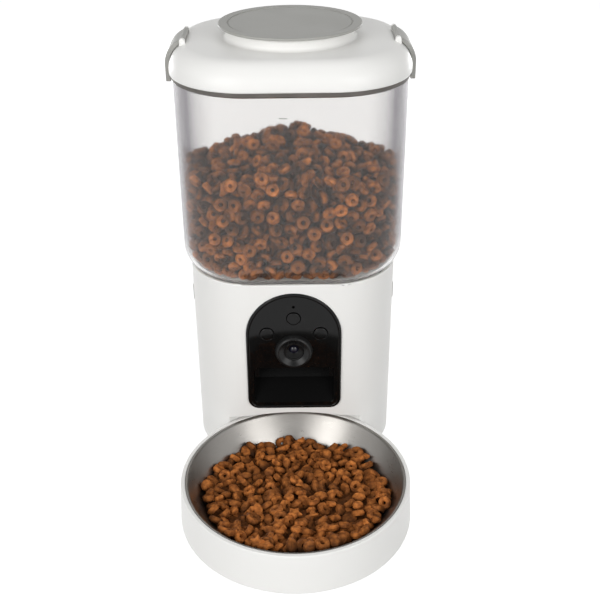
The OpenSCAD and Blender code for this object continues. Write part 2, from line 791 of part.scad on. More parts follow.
// Side outline of the slide, y to the right, grown outwards by its wall
module chute_outline(grow) {
    slant = grow * (sqrt(2) - 1);
    polygon([[pocket_back_y, chute_low_z - grow * sqrt(2)],
        [chute_back_y + grow, chute_low_z + chute_back_y - pocket_back_y + grow - grow * sqrt(2)],
        [chute_back_y + grow, chute_top_z], [chute_front_y - grow, chute_top_z],
        [chute_front_y - grow, chute_roof_z + chute_front_y - pocket_back_y + slant],
        [pocket_back_y, chute_roof_z + grow * sqrt(2)]]);
}

module along_x(w) { rotate([90, 0, 90]) translate([0, 0, -w / 2]) linear_extrude(w) children(); }

module outlet_chute() color([0.12, 0.12, 0.13]) at_body() difference() {
    union() {
        along_x(chute_w + 2 * chute_wall) chute_outline(chute_wall);
        from_front(pocket_back_y, pocket_back_y + chute_flange_t)
            translate([0, (chute_low_z + chute_roof_z) / 2]) square([outlet_w + 2 * pocket_wall,
                chute_roof_z - chute_low_z + 2 * pocket_wall], center = true);
    }
    along_x(chute_w) chute_outline(0);
    box([-chute_w / 2, pocket_back_y - 1, chute_low_z + chute_flange_t],
        [chute_w / 2, pocket_back_y + chute_flange_t, chute_roof_z]);
    box([-chute_w / 2, chute_front_y, chute_top_z - 1], [chute_w / 2, chute_back_y, chute_top_z + 1]);
}

// Camera

// Turns a profile round the camera's axis: x is the radius, y grows from the panel's face outwards
module about_camera() {
    translate([0, panel_front_y, camera_z]) rotate([90, 0, 0]) rotate_extrude($fn = arc_steps) children();
}

module camera_bezel() color([0.08, 0.08, 0.09]) at_body() difference() {
    hole_r = lens_barrel_r + inset_gap;
    about_camera() polygon([[hole_r, 0], [bezel_r, 0], [bezel_r - 0.4, 1], [bezel_r - 2.4, bezel_proud],
        [bezel_r - 3.6, bezel_proud], [hole_r, 0.6]]);
    box([-bezel_r, panel_front_y - bezel_proud - 1, outlet_z], [bezel_r, panel_front_y + 1, outlet_top_z]);
}

module camera_barrel() color([0.1, 0.1, 0.11]) at_body() about_camera()
    polygon([[0, -barrel_l], [lens_barrel_r, -barrel_l], [lens_barrel_r, 0.4], [lens_barrel_r - 0.8, 0.4],
        [lens_r, 1.6 - lens_sink], [lens_r, -lens_sink], [0, -lens_sink]]);

module camera_lens() color([0.2, 0.22, 0.3]) at_body() about_camera() intersection() {
    translate([0, -lens_sink]) square([lens_r - 0.1, lens_r]);
    translate([0, -lens_sink - lens_r]) circle(r = lens_r * 1.6, $fn = arc_steps);
}

module camera_board() color("darkgreen") at_body() {
    box([-14, camera_board_y - eps, camera_z - 7], [14, camera_board_y + board_t, camera_z + 16]);
    box([-9, panel_front_y + barrel_l, camera_z - 6], [9, camera_board_y, camera_z + 9]);
}

// Buttons

module panel_button(x, z) {
    rod_y(button_r, x, z, panel_front_y - button_proud + 0.4, panel_back_y + 2);
    rod_y(button_r - 0.4, x, z, panel_front_y - button_proud, panel_front_y);
    rod_y(button_r + 1.2, x, z, panel_back_y + 2 + rest_gap, panel_back_y + 3.5);
    rod_y(button_r - 0.6, x, z, panel_back_y + 1, panel_back_y + 3);
    rod_y(2, x, z, panel_back_y + 3, panel_front_y + button_depth);
}

module button_top() color([0.14, 0.14, 0.15]) at_body() panel_button(0, button_top_z);
module button_left() color([0.14, 0.14, 0.15]) at_body() panel_button(-button_side_x, button_side_z);
module button_right() color([0.14, 0.14, 0.15]) at_body() panel_button(button_side_x, button_side_z);

module button_board() color("darkgreen") at_body() {
    half_w = button_side_x + 9;
    box([-half_w, button_board_y, button_side_z - 4], [half_w, button_board_y + board_t, mic_z + 3]);
    at_buttons() box([-3, button_board_y - switch_h, -3], [3, button_board_y + eps, 3]);
    at_buttons() rod_y(1.6, 0, 0, button_board_y - switch_h - 0.4, button_board_y - switch_h + eps);
    for (sx = [-1, 1])
        rod_y(standoff_r, sx * (button_side_x - 9), mic_z - 3, panel_back_y + 2, button_board_y);
}

module microphone() color("dimgray") at_body()
    rod_y(3, 0, mic_z, panel_back_y + 2, button_board_y);

// Inside the body

module speaker() color("dimgray") at_body() {
    rod_y(speaker_r, 0, speaker_z, back_y - body_wall - 4, back_y - body_wall);
    rod_y(speaker_r * 0.55, 0, speaker_z, back_y - body_wall - 8, back_y - body_wall - 4 + eps);
}

module main_board() color("darkgreen") at_body() translate([0, main_board_y, main_board_z]) {
    box([-main_board_w / 2, 0, 0], [main_board_w / 2, board_t, main_board_h]);
    translate([-chip_w / 2 - 2, 0, main_board_h / 2 - 4]) box([0, -chip_t, 0], [chip_w, eps, chip_h]);
    for (i = [0 : 3]) translate([main_board_w * (i / 4 - 0.375), 0, main_board_h - connector_h - 4])
        box([-connector_w / 2, -connector_t, 0], [connector_w / 2, eps, connector_h]);
}

module power_inlet() color([0.1, 0.1, 0.1]) at_body() difference() {
    union() {
        translate([socket_x, 0, 0])
            box([-5.5, socket_back_y, plate_top_z], [5.5, back_y - body_wall - 2, socket_z + 5.5]);
        rod_y(socket_r + 1.5, socket_x, socket_z, socket_back_y, back_y - 0.5);
    }
    difference() {
        rod_y(socket_r, socket_x, socket_z, socket_back_y + 6, back_y + 1);
        rod_y(0.9, socket_x, socket_z, socket_back_y + 5, back_y - 2);
    }
}

module chassis_plate() color("whitesmoke") at_body() difference() {
    translate([0, 0, chassis_z]) linear_extrude(chassis_t) intersection() {
        outline(inner_w - 2 * fit_gap, inner_d - 2 * fit_gap, inner_corner_r - fit_gap);
        translate([-body_w, chassis_front_y]) square([2 * body_w, chassis_back_y - chassis_front_y]);
    }
    translate([pinion_x, pinion_y, 0]) disc(motor_r + 0.6, chassis_z - 1, chassis_t + 2);
    at_gearbox_screws() screw_hole(chassis_z - 1, gearbox_z + 1);
}

module at_gearbox_rows() { for (y = [chassis_front_y + 8, gearbox_back_y - 12]) translate([0, y, 0]) children(); }

module at_gearbox_screws() {
    for (sx = [-1, 1]) translate([sx * (gearbox_half_w + lug_r), 0, 0]) at_gearbox_rows() children();
}

// Plan of the gearbox from z0 to z1, drawn in by inset
module gearbox_block(z0, z1, inset) {
    half_w = gearbox_half_w - inset;
    box([-half_w, gearbox_front_y + inset, z0], [half_w, gearbox_back_y - inset, z1]);
}

module gearbox_case() color("lightgray") at_body() difference() {
    union() {
        gearbox_block(gearbox_z, gearbox_top_z - cover_t, 0);
        at_gearbox_screws() disc(lug_r, gearbox_z, gearbox_lug_t);
        for (sx = [-1, 1]) on_side(sx) at_gearbox_rows()
            translate([gearbox_half_w, 0, gearbox_z]) box([-eps, 1 - lug_r, 0], [lug_r, lug_r - 1, gearbox_lug_t]);
    }
    gearbox_block(gearbox_z + gearbox_wall, gearbox_top_z, gearbox_wall);
    at_gearbox_screws() screw_hole(gearbox_z - 1, gearbox_z + gearbox_lug_t + 1);
    disc(shaft_r + run_gap, gearbox_z - 1, gearbox_wall + 2);
    translate([0, idler_y, 0]) disc(axle_r + screw_gap, gearbox_z - 1, gearbox_wall + 2);
    translate([pinion_x, pinion_y, 0]) disc(motor_shaft_r + 1.5, gearbox_z - 1, gearbox_wall + 2);
}

module gearbox_cover() color("lightgray") at_body() difference() {
    union() {
        gearbox_block(gearbox_top_z - cover_t, gearbox_top_z, 0);
        disc(shaft_r + 3, gearbox_top_z - eps, 3);
    }
    disc(shaft_r + run_gap, gearbox_top_z - cover_t - 1, cover_t + 6);
    translate([0, idler_y, 0]) disc(axle_r + screw_gap, gearbox_top_z - cover_t - 1, cover_t + 2);
}

module gearbox_screws() color("silver") at_body() at_gearbox_screws()
    translate([0, 0, gearbox_z + gearbox_lug_t]) screw(gearbox_lug_t + chassis_t + 2);

module motor() color("silver") at_body() translate([pinion_x, pinion_y, 0]) {
    disc(motor_r, gearbox_z - motor_l, motor_l);
    disc(motor_shaft_r, gearbox_z - eps, layer_a_z + gear_face - gearbox_z);
    disc(motor_r * 0.4, gearbox_z - motor_l - 2, 2 + eps);
}

module motor_pinion() color("goldenrod") at_body() translate([pinion_x, pinion_y, 0]) difference() {
    gear(pinion_teeth, layer_a_z, gear_face, pinion_way + 180 + 180 / pinion_teeth);
    disc(motor_shaft_r + run_gap, layer_a_z - 1, gear_face + 2);
}

module idler_gear() color("ivory") at_body() translate([0, idler_y, 0]) difference() {
    union() {
        gear(idler_teeth, layer_a_z, gear_face, pinion_way);
        disc(gear_m * idler_small_teeth / 2 - 1.2, layer_a_z, layer_b_z - layer_a_z + eps);
        gear(idler_small_teeth, layer_b_z, gear_face, -90 + 180 / idler_small_teeth);
    }
    disc(axle_r + run_gap, layer_a_z - 1, 2 * gear_face + 6);
}

module idler_axle() color("silver") at_body() translate([0, idler_y, 0])
    disc(axle_r, gearbox_z, gearbox_h);

module output_gear() color("ivory") at_body() difference() {
    union() {
        gear(output_teeth, layer_b_z, gear_face, 90);
        disc(shaft_r + 2, layer_a_z, gearbox_top_z - cover_t - 1 - layer_a_z);
    }
    disc(shaft_r, layer_a_z - 1, gearbox_h);
}

module output_shaft() color("silver") at_body() {
    disc(shaft_r, gearbox_z, blade_z - gearbox_z + eps);
    box([-blade_w / 2, -blade_t / 2, blade_z], [blade_w / 2, blade_t / 2, blade_z + blade_h]);
}

// Release button with its arms round the hopper's tab and the catch behind it
module release_button(side) at_body() on_side(side) {
    z0 = release_z - release_arm_h / 2;
    z1 = release_z + release_arm_h / 2;
    y1 = release_arm_y + release_arm_t;
    out_x = body_w / 2 + release_proud;
    edge = 0.6;
    low = release_z - release_h / 2;
    high = release_z + release_h / 2;
    box([release_in_x - eps, -release_w / 2, low], [out_x - edge, release_w / 2, high]);
    box([out_x - edge - eps, -release_w / 2 + edge, low + edge], [out_x, release_w / 2 - edge, high - edge]);
    box([release_in_x - release_flange, -y1, low - 2], [release_in_x, y1, high + 2]);
    for (sy = [-1, 1]) scale([1, sy, 1])
        box([release_bar_x, release_arm_y, z0], [release_in_x - release_flange + eps, y1, z1]);
    box([release_bar_x, -y1, z0], [release_bar_x + release_bar_t, y1, z1]);
    box([release_bar_x + release_bar_t - eps, -tab_w / 4, release_z - catch_h / 2],
        [tab_x - slide_gap, tab_w / 4, release_z + catch_h / 2]);
}

module release_button_left() color("gray") release_button(-1);
module release_button_right() color("gray") release_button(1);

// Coil springs between the release catches and their stops, as plain sleeves
module release_springs() color("silver") at_body() for (side = [-1, 1]) on_side(side)
    translate([release_stop_x + release_stop_t, 0, release_z]) rotate([0, 90, 0]) difference() {
        length = release_bar_x - release_stop_x - release_stop_t;
        cylinder(r = 2.6, h = length, $fn = arc_steps);
        translate([0, 0, -1]) cylinder(r = 1.9, h = length + 2, $fn = arc_steps);
    }

// Hopper

module hopper_shell() color([0.55, 0.56, 0.57, 0.5]) at_body() difference() {
    inside_r = hopper_edge_r - hopper_wall;
    union() {
        swept(hopper_w, hopper_d, hopper_corner_r) difference() {
            edge_profile(hopper_corner_r, hopper_z, hopper_top_z, 0, hopper_edge_r);
            edge_profile(hopper_corner_r - hopper_wall, hopper_floor_z, hopper_top_z + 1, 0, inside_r);
        }
        middle(hopper_w, hopper_d, hopper_corner_r, hopper_z, hopper_wall);
        for (side = [-1, 1]) on_side(side)
            box([hopper_w / 2 - hopper_wall / 2, -lug_w / 2, lug_z], [lug_x, lug_w / 2, lug_z + lug_h]);
    }
    disc(hopper_mouth_r, hopper_z - 1, hopper_wall + 2);
    at_flange_screws() screw_hole(hopper_z - 1, hopper_floor_z + 1);
    for (side = [-1, 1]) on_side(side) tab_block(hopper_z - 1, tab_top_z + 1);
}

module tab_block(z0, z1) { box([tab_x, -tab_w / 2, z0], [tab_x + tab_t, tab_w / 2, z1]); }

// Release tabs, set through the hopper's bottom, with the slots for the catches
module hopper_tabs() color([0.55, 0.56, 0.57, 0.5]) at_body() for (side = [-1, 1]) on_side(side) difference() {
    tab_block(tab_low_z, tab_top_z);
    box([tab_x - 1, -tab_w / 4 - slide_gap, release_z - catch_h / 2 - 0.5],
        [tab_x + tab_t + 1, tab_w / 4 + slide_gap, release_z + catch_h / 2 + 0.5]);
}

// Flange on the hopper's floor, with the wall of the rotor cup under it
module hopper_floor() color("gainsboro") at_body() difference() {
    union() {
        disc(cup_out_r, cup_floor_z, hopper_floor_z + flange_t - cup_floor_z);
        disc(flange_r, hopper_floor_z, flange_t);
    }
    disc(cup_r, cup_floor_z - 1, hopper_floor_z + flange_t - cup_floor_z + 2);
    at_flange_screws() screw_hole(hopper_floor_z - 1, hopper_floor_z + flange_t + 1);
}

// Floor of the rotor cup, with the hole that the food drops through
module cup_floor() color("gainsboro") at_body() difference() {
    disc(cup_out_r, cup_z, cup_wall);
    translate([0, -drop_reach, 0]) disc(drop_r, cup_z - 1, cup_wall + 2);
    disc(bush_r + screw_gap, cup_z - 1, cup_wall + 2);
}

module hopper_screws() color("silver") at_body() at_flange_screws()
    translate([0, 0, hopper_floor_z + flange_t]) screw(flange_t + hopper_wall - 0.4);

module rotor() color("dimgray") at_body() difference() {
    union() {
        disc(hub_r, rotor_z, rotor_top_z - rotor_z);
        for (i = [0 : paddles - 1]) rotate([0, 0, i * 360 / paddles])
            box([hub_r - 2, -paddle_t / 2, rotor_z], [cup_r - paddle_gap, paddle_t / 2, rotor_top_z]);
    }
    disc(shaft_r, rotor_z - 1, rotor_top_z - rotor_z - 4);
}

module rotor_shaft() color("silver") at_body() difference() {
    union() {
        disc(coupling_r, coupling_z, coupling_h);
        disc(shaft_r, coupling_top_z - eps, rotor_top_z - 5 - coupling_top_z);
    }
    box([-blade_w / 2 - slide_gap, -blade_t / 2 - slide_gap, coupling_z - 1],
        [blade_w / 2 + slide_gap, blade_t / 2 + slide_gap, coupling_z + slot_h]);
}

module rotor_bush() color("tan") at_body() difference() {
    union() {
        disc(bush_r, cup_z - bush_drop, cup_wall + bush_drop + eps);
        disc(bush_flange_r, cup_floor_z, bush_flange_t);
    }
    disc(shaft_r + run_gap, cup_z - bush_drop - 1, cup_wall + bush_drop + bush_flange_t + 2);
}

module rotor_baffle() color("gainsboro") at_body() intersection() {
    disc(cup_r - 0.02, baffle_z, baffle_t);
    far = 2 * cup_r;
    translate([0, 0, baffle_z]) linear_extrude(baffle_t)
        polygon([[0, 6], [-far, -0.3 * far], [-far, -far], [far, -far], [far, -0.3 * far]]);
}

// Lid

module lid_solid(grow) {
    swept(lid_w, lid_d, lid_corner_r)
        edge_profile(lid_corner_r - grow, lid_z - 1 * sign(grow), lid_top_z - grow, lid_shoulder_r - grow, 0);
    middle(lid_w, lid_d, lid_corner_r, lid_z - 1 * sign(grow), lid_h - grow + 1 * sign(grow));
}

module lid_shell() color("ghostwhite") at_body() difference() {
    union() {
        difference() {
            lid_solid(0);
            lid_solid(lid_wall);
        }
        at_liner_screws() disc(boss_r, lid_z + liner_t, lid_h - liner_t - 1);
        for (side = [-1, 1], sy = [-1, 1]) on_side(side) {
            y0 = latch_w / 2 + rest_gap;
            scale([1, sy, 1]) {
                rod_y(barrel_r, hinge_x, hinge_z, y0, y0 + ear_w);
                box([hinge_x - barrel_r, y0, ear_z], [hinge_x + barrel_r, y0 + ear_w, hinge_z]);
            }
        }
    }
    disc(neck_flange_r + run_gap, lid_z, lid_h + 2);
    at_liner_screws() screw_hole(lid_z, lid_top_z - lid_wall - 1);
    for (side = [-1, 1]) on_side(side)
        rod_y(pin_r + screw_gap, hinge_x, hinge_z, -latch_w, latch_w);
}

// Neck on a flange that is set into the lid's top
module lid_neck() color("ghostwhite") at_body() difference() {
    union() {
        disc(neck_r, lid_top_z - lid_wall, lid_wall + neck_h);
        disc(neck_flange_r, lid_top_z - lid_wall, lid_wall);
    }
    disc(neck_bore_r, lid_z, lid_h + neck_h + 1);
}

module drying_holes() {
    rings = [[9, 6], [18, 12], [27, 18], [36, 24]];
    for (ring = rings, i = [0 : ring[1] - 1])
        rotate([0, 0, 360 * i / ring[1]]) translate([ring[0], 0, 0]) disc(1.8, lid_z - 1, liner_t + 2);
}

module lid_liner() color("gainsboro") at_body() difference() {
    inset = lid_wall + liner_clear;
    union() {
        slab(lid_w - 2 * inset, lid_d - 2 * inset, lid_corner_r - inset, lid_z, liner_t);
        tube(liner_cup_r, liner_cup_r - liner_cup_wall, lid_z + eps, lid_h - plug_h + neck_h - 1);
    }
    at_liner_screws() screw_hole(lid_z - 1, lid_z + liner_t + 1);
    drying_holes();
}

module lid_screws() color("silver") at_body() at_liner_screws()
    translate([0, 0, lid_z]) mirror([0, 0, 1]) screw(10);

module lid_seal() color([0.3, 0.28, 0.26]) at_body() {
    seal_out = lid_corner_r - 1.6;
    swept(lid_w, lid_d, lid_corner_r) translate([seal_out - seal_w, seal_z]) square([seal_w, seal_h]);
}

module lid_cap() color("darkgray") at_body() difference() {
    union() {
        translate([0, 0, cap_z]) rotate_extrude($fn = arc_steps) edge_profile(cap_r, 0, cap_t, 0.6, 0.5);
        tube(neck_bore_r - slide_gap, neck_bore_r - slide_gap - 2.5, cap_z - plug_h, plug_h + eps);
    }
    disc(cap_r - cap_rim_w, cap_z + cap_t - cap_dish, cap_dish + 1);
    translate([0, cap_r - cap_rim_w - mark_in, cap_z + cap_t - cap_dish]) cube([6, 2, 0.8], center = true);
}

// Latch: barrel on its pin, arm over the lid's shoulder, hook below the hopper's lug
module latch(side) at_body() on_side(side) difference() {
    union() {
        rod_y(barrel_r, hinge_x, hinge_z, -latch_w / 2, latch_w / 2);
        translate([0, latch_w / 2, 0]) rotate([90, 0, 0]) linear_extrude(latch_w) {
            intersection() {
                translate([shoulder_x, shoulder_z]) difference() {
                    circle(r = latch_out_r, $fn = arc_steps);
                    circle(r = latch_in_r, $fn = arc_steps);
                }
                translate([hinge_x, shoulder_z]) square([lid_w, hinge_z]);
            }
            translate([shoulder_x + latch_in_r, latch_low_z]) square([latch_t, shoulder_z - latch_low_z + eps]);
            translate([hook_x, latch_low_z]) square([shoulder_x + latch_in_r - hook_x + eps, hook_h]);
        }
    }
    rod_y(pin_r + run_gap, hinge_x, hinge_z, -latch_w, latch_w);
}

module latch_left() color("darkgray") latch(-1);
module latch_right() color("darkgray") latch(1);

module latch_pins() color("silver") at_body() for (side = [-1, 1]) on_side(side)
    rod_y(pin_r, hinge_x, hinge_z, -latch_w / 2 - ear_w - rest_gap, latch_w / 2 + ear_w + rest_gap);

// Bowl

module bowl_holder() color("ghostwhite") {
    ledge_z = ring_h - ledge_drop;
    ledge_in = rim_in_r - ledge_w;
    floor_top = ring_floor_z + ring_floor_t;
    foot_in = ring_foot_r - ring_wall - 0.6;
    at_bowl() rotate_extrude($fn = arc_steps) polygon([[0, ring_floor_z], [ring_foot_r - 4, ring_floor_z],
        [ring_foot_r - 3.4, ring_z], [ring_foot_r - 0.8, ring_z], [ring_foot_r, ring_z + ring_foot_edge],
        [ring_rim_r, ring_h - ring_rim_edge], [ring_rim_r - 0.6, ring_h], [rim_in_r + 0.3, ring_h],
        [rim_in_r, ring_h - 0.3], [rim_in_r, ledge_z], [ledge_in, ledge_z], [ledge_in, ledge_z - 2],
        [ring_rim_r - ring_wall, ledge_z - 4.4], [foot_in, floor_top], [0, floor_top]]);
    at_body() difference() {
        tongue(0);
        translate([0, -bowl_reach, 0]) disc(tongue_root_r, 0, ring_h);
    }
}

module holder_pads() color("dimgray") at_bowl() for (i = [0 : 3]) rotate([0, 0, 45 + 90 * i])
    translate([ring_foot_r - 16, 0, 0]) disc(pad_r, 0, ring_floor_z);

// Wall line of the dish from its middle to its flange, raised by up
function dish_line(up) = [for (a = [-90 : 6.5 : -90 + dish_slope])
    [dish_floor_r + (dish_bend_r - up) * cos(a), dish_floor_z + dish_bend_r + (dish_bend_r - up) * sin(a)]];

module steel_dish() color("silver") at_bowl() {
    low = dish_line(0);
    high = dish_line(dish_wall);
    end_low = low[len(low) - 1];
    end_high = high[len(high) - 1];
    neck_low = end_low[0] + (dish_seat_z - end_low[1]) / tan(dish_slope);
    neck_high = end_high[0] + (dish_seat_z + dish_wall - end_high[1]) / tan(dish_slope);
    up = [for (i = [len(high) - 1 : -1 : 0]) high[i]];
    rotate_extrude($fn = arc_steps) polygon(concat([[0, dish_floor_z]], low, [[neck_low, dish_seat_z],
        [dish_rim_r, dish_seat_z], [dish_rim_r, dish_seat_z + dish_wall], [neck_high, dish_seat_z + dish_wall]],
        up, [[0, dish_floor_z + dish_wall]]));
}

body_shell();
body_skirt();
bowl_recess();
top_deck();
deck_screws();
base_plate();
base_screws();
rubber_feet();
battery_door();
battery_contacts();
front_panel();
outlet_chute();
camera_bezel();
camera_barrel();
camera_lens();
camera_board();
button_top();
button_left();
button_right();
button_board();
microphone();
speaker();
main_board();
power_inlet();
chassis_plate();
gearbox_case();
gearbox_cover();
gearbox_screws();
motor();
motor_pinion();
idler_gear();
idler_axle();
output_gear();
output_shaft();
release_button_left();
release_button_right();
release_springs();
hopper_shell();
hopper_tabs();
hopper_floor();
cup_floor();
hopper_screws();
rotor();
rotor_shaft();
rotor_bush();
rotor_baffle();
lid_shell();
lid_neck();
lid_liner();
lid_screws();
lid_seal();
lid_cap();
latch_left();
latch_right();
latch_pins();
bowl_holder();
holder_pads();
steel_dish();
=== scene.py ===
"""Looks of a pet feeder with a camera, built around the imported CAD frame.

Sizes are in millimetres until a mesh is made, and in metres after that. Scales of patterns are per metre.
"""

import logging
import math
from collections.abc import Sequence
from dataclasses import dataclass, field
from enum import Enum

import bmesh
import bpy
from mathutils import Matrix, Vector
from mathutils.bvhtree import BVHTree


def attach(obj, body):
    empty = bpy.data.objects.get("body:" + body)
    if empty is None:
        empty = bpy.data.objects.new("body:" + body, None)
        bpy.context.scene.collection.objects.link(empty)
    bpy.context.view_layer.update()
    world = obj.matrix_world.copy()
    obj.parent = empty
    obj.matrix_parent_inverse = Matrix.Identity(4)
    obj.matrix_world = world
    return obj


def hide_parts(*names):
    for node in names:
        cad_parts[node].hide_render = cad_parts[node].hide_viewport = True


LOG = logging.getLogger("feeder")
MM = 0.001
BODY_Y = 78.65
BOWL_Y = -68.95
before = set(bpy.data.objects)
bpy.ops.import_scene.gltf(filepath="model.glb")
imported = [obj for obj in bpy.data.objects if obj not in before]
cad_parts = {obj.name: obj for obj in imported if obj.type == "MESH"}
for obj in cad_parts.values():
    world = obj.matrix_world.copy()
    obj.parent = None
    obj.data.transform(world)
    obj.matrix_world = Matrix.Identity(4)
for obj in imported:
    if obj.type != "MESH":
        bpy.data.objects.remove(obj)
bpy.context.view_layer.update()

Colour = tuple[float, float, float]
Point2 = tuple[float, float]
Point3 = tuple[float, float, float]
Socket = bpy.types.NodeSocket


# Shader nodes


class Tree:
    """Short way to add and join nodes in one node tree."""

    NOISE_LOW = 0.3
    NOISE_HIGH = 0.7

    def __init__(self, tree: bpy.types.NodeTree) -> None:
        """Keeps the tree that nodes go into."""
        self.tree = tree

    def join(self, source: Socket, target: Socket) -> None:
        """Links an output to an input."""
        self.tree.links.new(source, target)

    def fill(self, node: bpy.types.Node, values: dict) -> None:
        """Sets inputs of a node.

        Args:
            node: The node.
            values: Input sockets by name or number, each with a constant or an output socket.
        """
        for key, value in values.items():
            if isinstance(value, Socket):
                self.join(value, node.inputs[key])
            else:
                node.inputs[key].default_value = value

    def add(self, kind: str, values: dict | None = None, **settings: object) -> bpy.types.Node:
        """Adds a node.

        Args:
            kind: Blender's name for the node type.
            values: Input sockets by name or number, each with a constant or an output socket.
            **settings: Attributes of the node itself.

        Returns:
            The new node.
        """
        node = self.tree.nodes.new(kind)
        for key, value in settings.items():
            setattr(node, key, value)
        self.fill(node, values or {})
        return node

    def noise(self, vector: Socket, scale: object, detail: float = 3.0) -> Socket:
        """Returns a noise's value from 0 to 1, with its scale and number of octaves."""
        return self.add("ShaderNodeTexNoise", {"Vector": vector, "Scale": scale, "Detail": detail}).outputs[0]

    def math(self, operation: str, *values: object) -> Socket:
        """Returns the result of a maths node, whose values are numbers or sockets in order."""
        return self.add("ShaderNodeMath", dict(enumerate(values)), operation=operation).outputs[0]

    def total(self, start: object, *terms: tuple[Socket, float]) -> Socket:
        """Adds weighted values to a start.

        Args:
            start: Number or socket to start from.
            *terms: Sockets, each with its weight.

        Returns:
            The sum.
        """
        for socket, weight in terms:
            start = self.math("MULTIPLY_ADD", socket, weight, start)
        return start

    def span(self, value: Socket, low: Point2, high: Point2) -> Socket:
        """Returns a value mapped and clamped; each end is its value before and after."""
        ends = {"Value": value, "From Min": low[0], "From Max": high[0], "To Min": low[1], "To Max": high[1]}
        return self.add("ShaderNodeMapRange", ends).outputs[0]

    def rise(self, value: Socket, start: float, full: float) -> Socket:
        """Returns a value's rise from 0 at a start to 1 at a full value, clamped."""
        return self.span(value, (start, 0.0), (full, 1.0))

    def vary(self, noise: Socket, low: float, high: float) -> Socket:
        """Returns a number that a noise varies between a low and a high end."""
        return self.span(noise, (self.NOISE_LOW, low), (self.NOISE_HIGH, high))

    def blend(self, factor: object, first: object, second: object) -> Socket:
        """Returns a mix of two colours or sockets; the factor is the share of the second."""
        return self.add("ShaderNodeMix", {0: factor, 6: first, 7: second}, data_type="RGBA").outputs[2]


def rgba(colour: Colour, gain: float = 1.0, lift: float = 0.0) -> tuple[float, float, float, float]:
    """Returns a colour with full alpha, times a gain and with a lift added."""
    return (*(gain * c + lift for c in colour), 1.0)


def shader_group(name: str, inputs: dict[str, float | None], outputs: Sequence[str]) -> tuple[Tree, dict, dict]:
    """Starts a shader node group with named sockets.

    Args:
        name: Name of the group.
        inputs: Input names, each with its default, or None for a vector.
        outputs: Names of the value outputs.

    Returns:
        The group's tree, its input sockets and its output sockets.
    """
    group = bpy.data.node_groups.new(name, "ShaderNodeTree")
    for key, default in inputs.items():
        kind = "NodeSocketVector" if default is None else "NodeSocketFloat"
        socket = group.interface.new_socket(name=key, in_out="INPUT", socket_type=kind)
        if default is not None:
            socket.default_value = default
    for key in outputs:
        group.interface.new_socket(name=key, in_out="OUTPUT", socket_type="NodeSocketFloat")
    tree = Tree(group)
    first = tree.add("NodeGroupInput")
    last = tree.add("NodeGroupOutput")
    return tree, {s.name: s for s in first.outputs}, {s.name: s for s in last.inputs}


class SharedEffects:
    """Node groups that several finishes place with their own values."""

    FINE_SHARE = 0.6
    COARSE_SHARE = 0.4
    COARSE_SCALE = 0.31
    MOTTLE_SCALE = 14.0
    SMUDGE_FROM = 0.42
    SMUDGE_FULL = 0.68
    SCUFF_FROM = 0.72
    SCUFF_FULL = 0.78
    SCUFF_SCALE = 8.0
    SCUFF_STRETCH = (9.0, 9.0, 0.7)
    SCUFF_TURN = (0.4, 0.5, 0.2)

    def __init__(self) -> None:
        """Builds each group once."""
        self.grain = self._mould_grain()
        self.handling = self._handling()

    def _mould_grain(self) -> bpy.types.NodeTree:
        """Builds the fine spark-eroded grain of moulded plastic.

        Returns:
            A group with the outputs Height and Mottle.
        """
        tree, given, result = shader_group("mould_grain", {"Vector": None, "Scale": 900.0}, ("Height", "Mottle"))
        where, scale = given["Vector"], given["Scale"]
        fine = tree.noise(where, scale, 2.0)
        coarse = tree.noise(where, tree.math("MULTIPLY", scale, self.COARSE_SCALE), 2.0)
        tree.join(tree.total(0.0, (fine, self.FINE_SHARE), (coarse, self.COARSE_SHARE)), result["Height"])
        tree.join(tree.noise(where, self.MOTTLE_SCALE, 4.0), result["Mottle"])
        return tree.tree

    def _handling(self) -> bpy.types.NodeTree:
        """Builds the smudges and hairline scuffs that handling leaves.

        Returns:
            A group with the outputs Smudge and Scuff.
        """
        tree, given, result = shader_group("handling_marks", {"Vector": None, "Scale": 30.0}, ("Smudge", "Scuff"))
        where, scale = given["Vector"], given["Scale"]
        cloud = tree.noise(where, scale, 5.0)
        tree.join(tree.rise(cloud, self.SMUDGE_FROM, self.SMUDGE_FULL), result["Smudge"])
        stretched = tree.add("ShaderNodeMapping", {"Vector": where, "Scale": self.SCUFF_STRETCH,
                                                   "Rotation": self.SCUFF_TURN}).outputs[0]
        line = tree.noise(stretched, tree.math("MULTIPLY", scale, self.SCUFF_SCALE), 1.0)
        tree.join(tree.rise(line, self.SCUFF_FROM, self.SCUFF_FULL), result["Scuff"])
        return tree.tree


EFFECTS = SharedEffects()


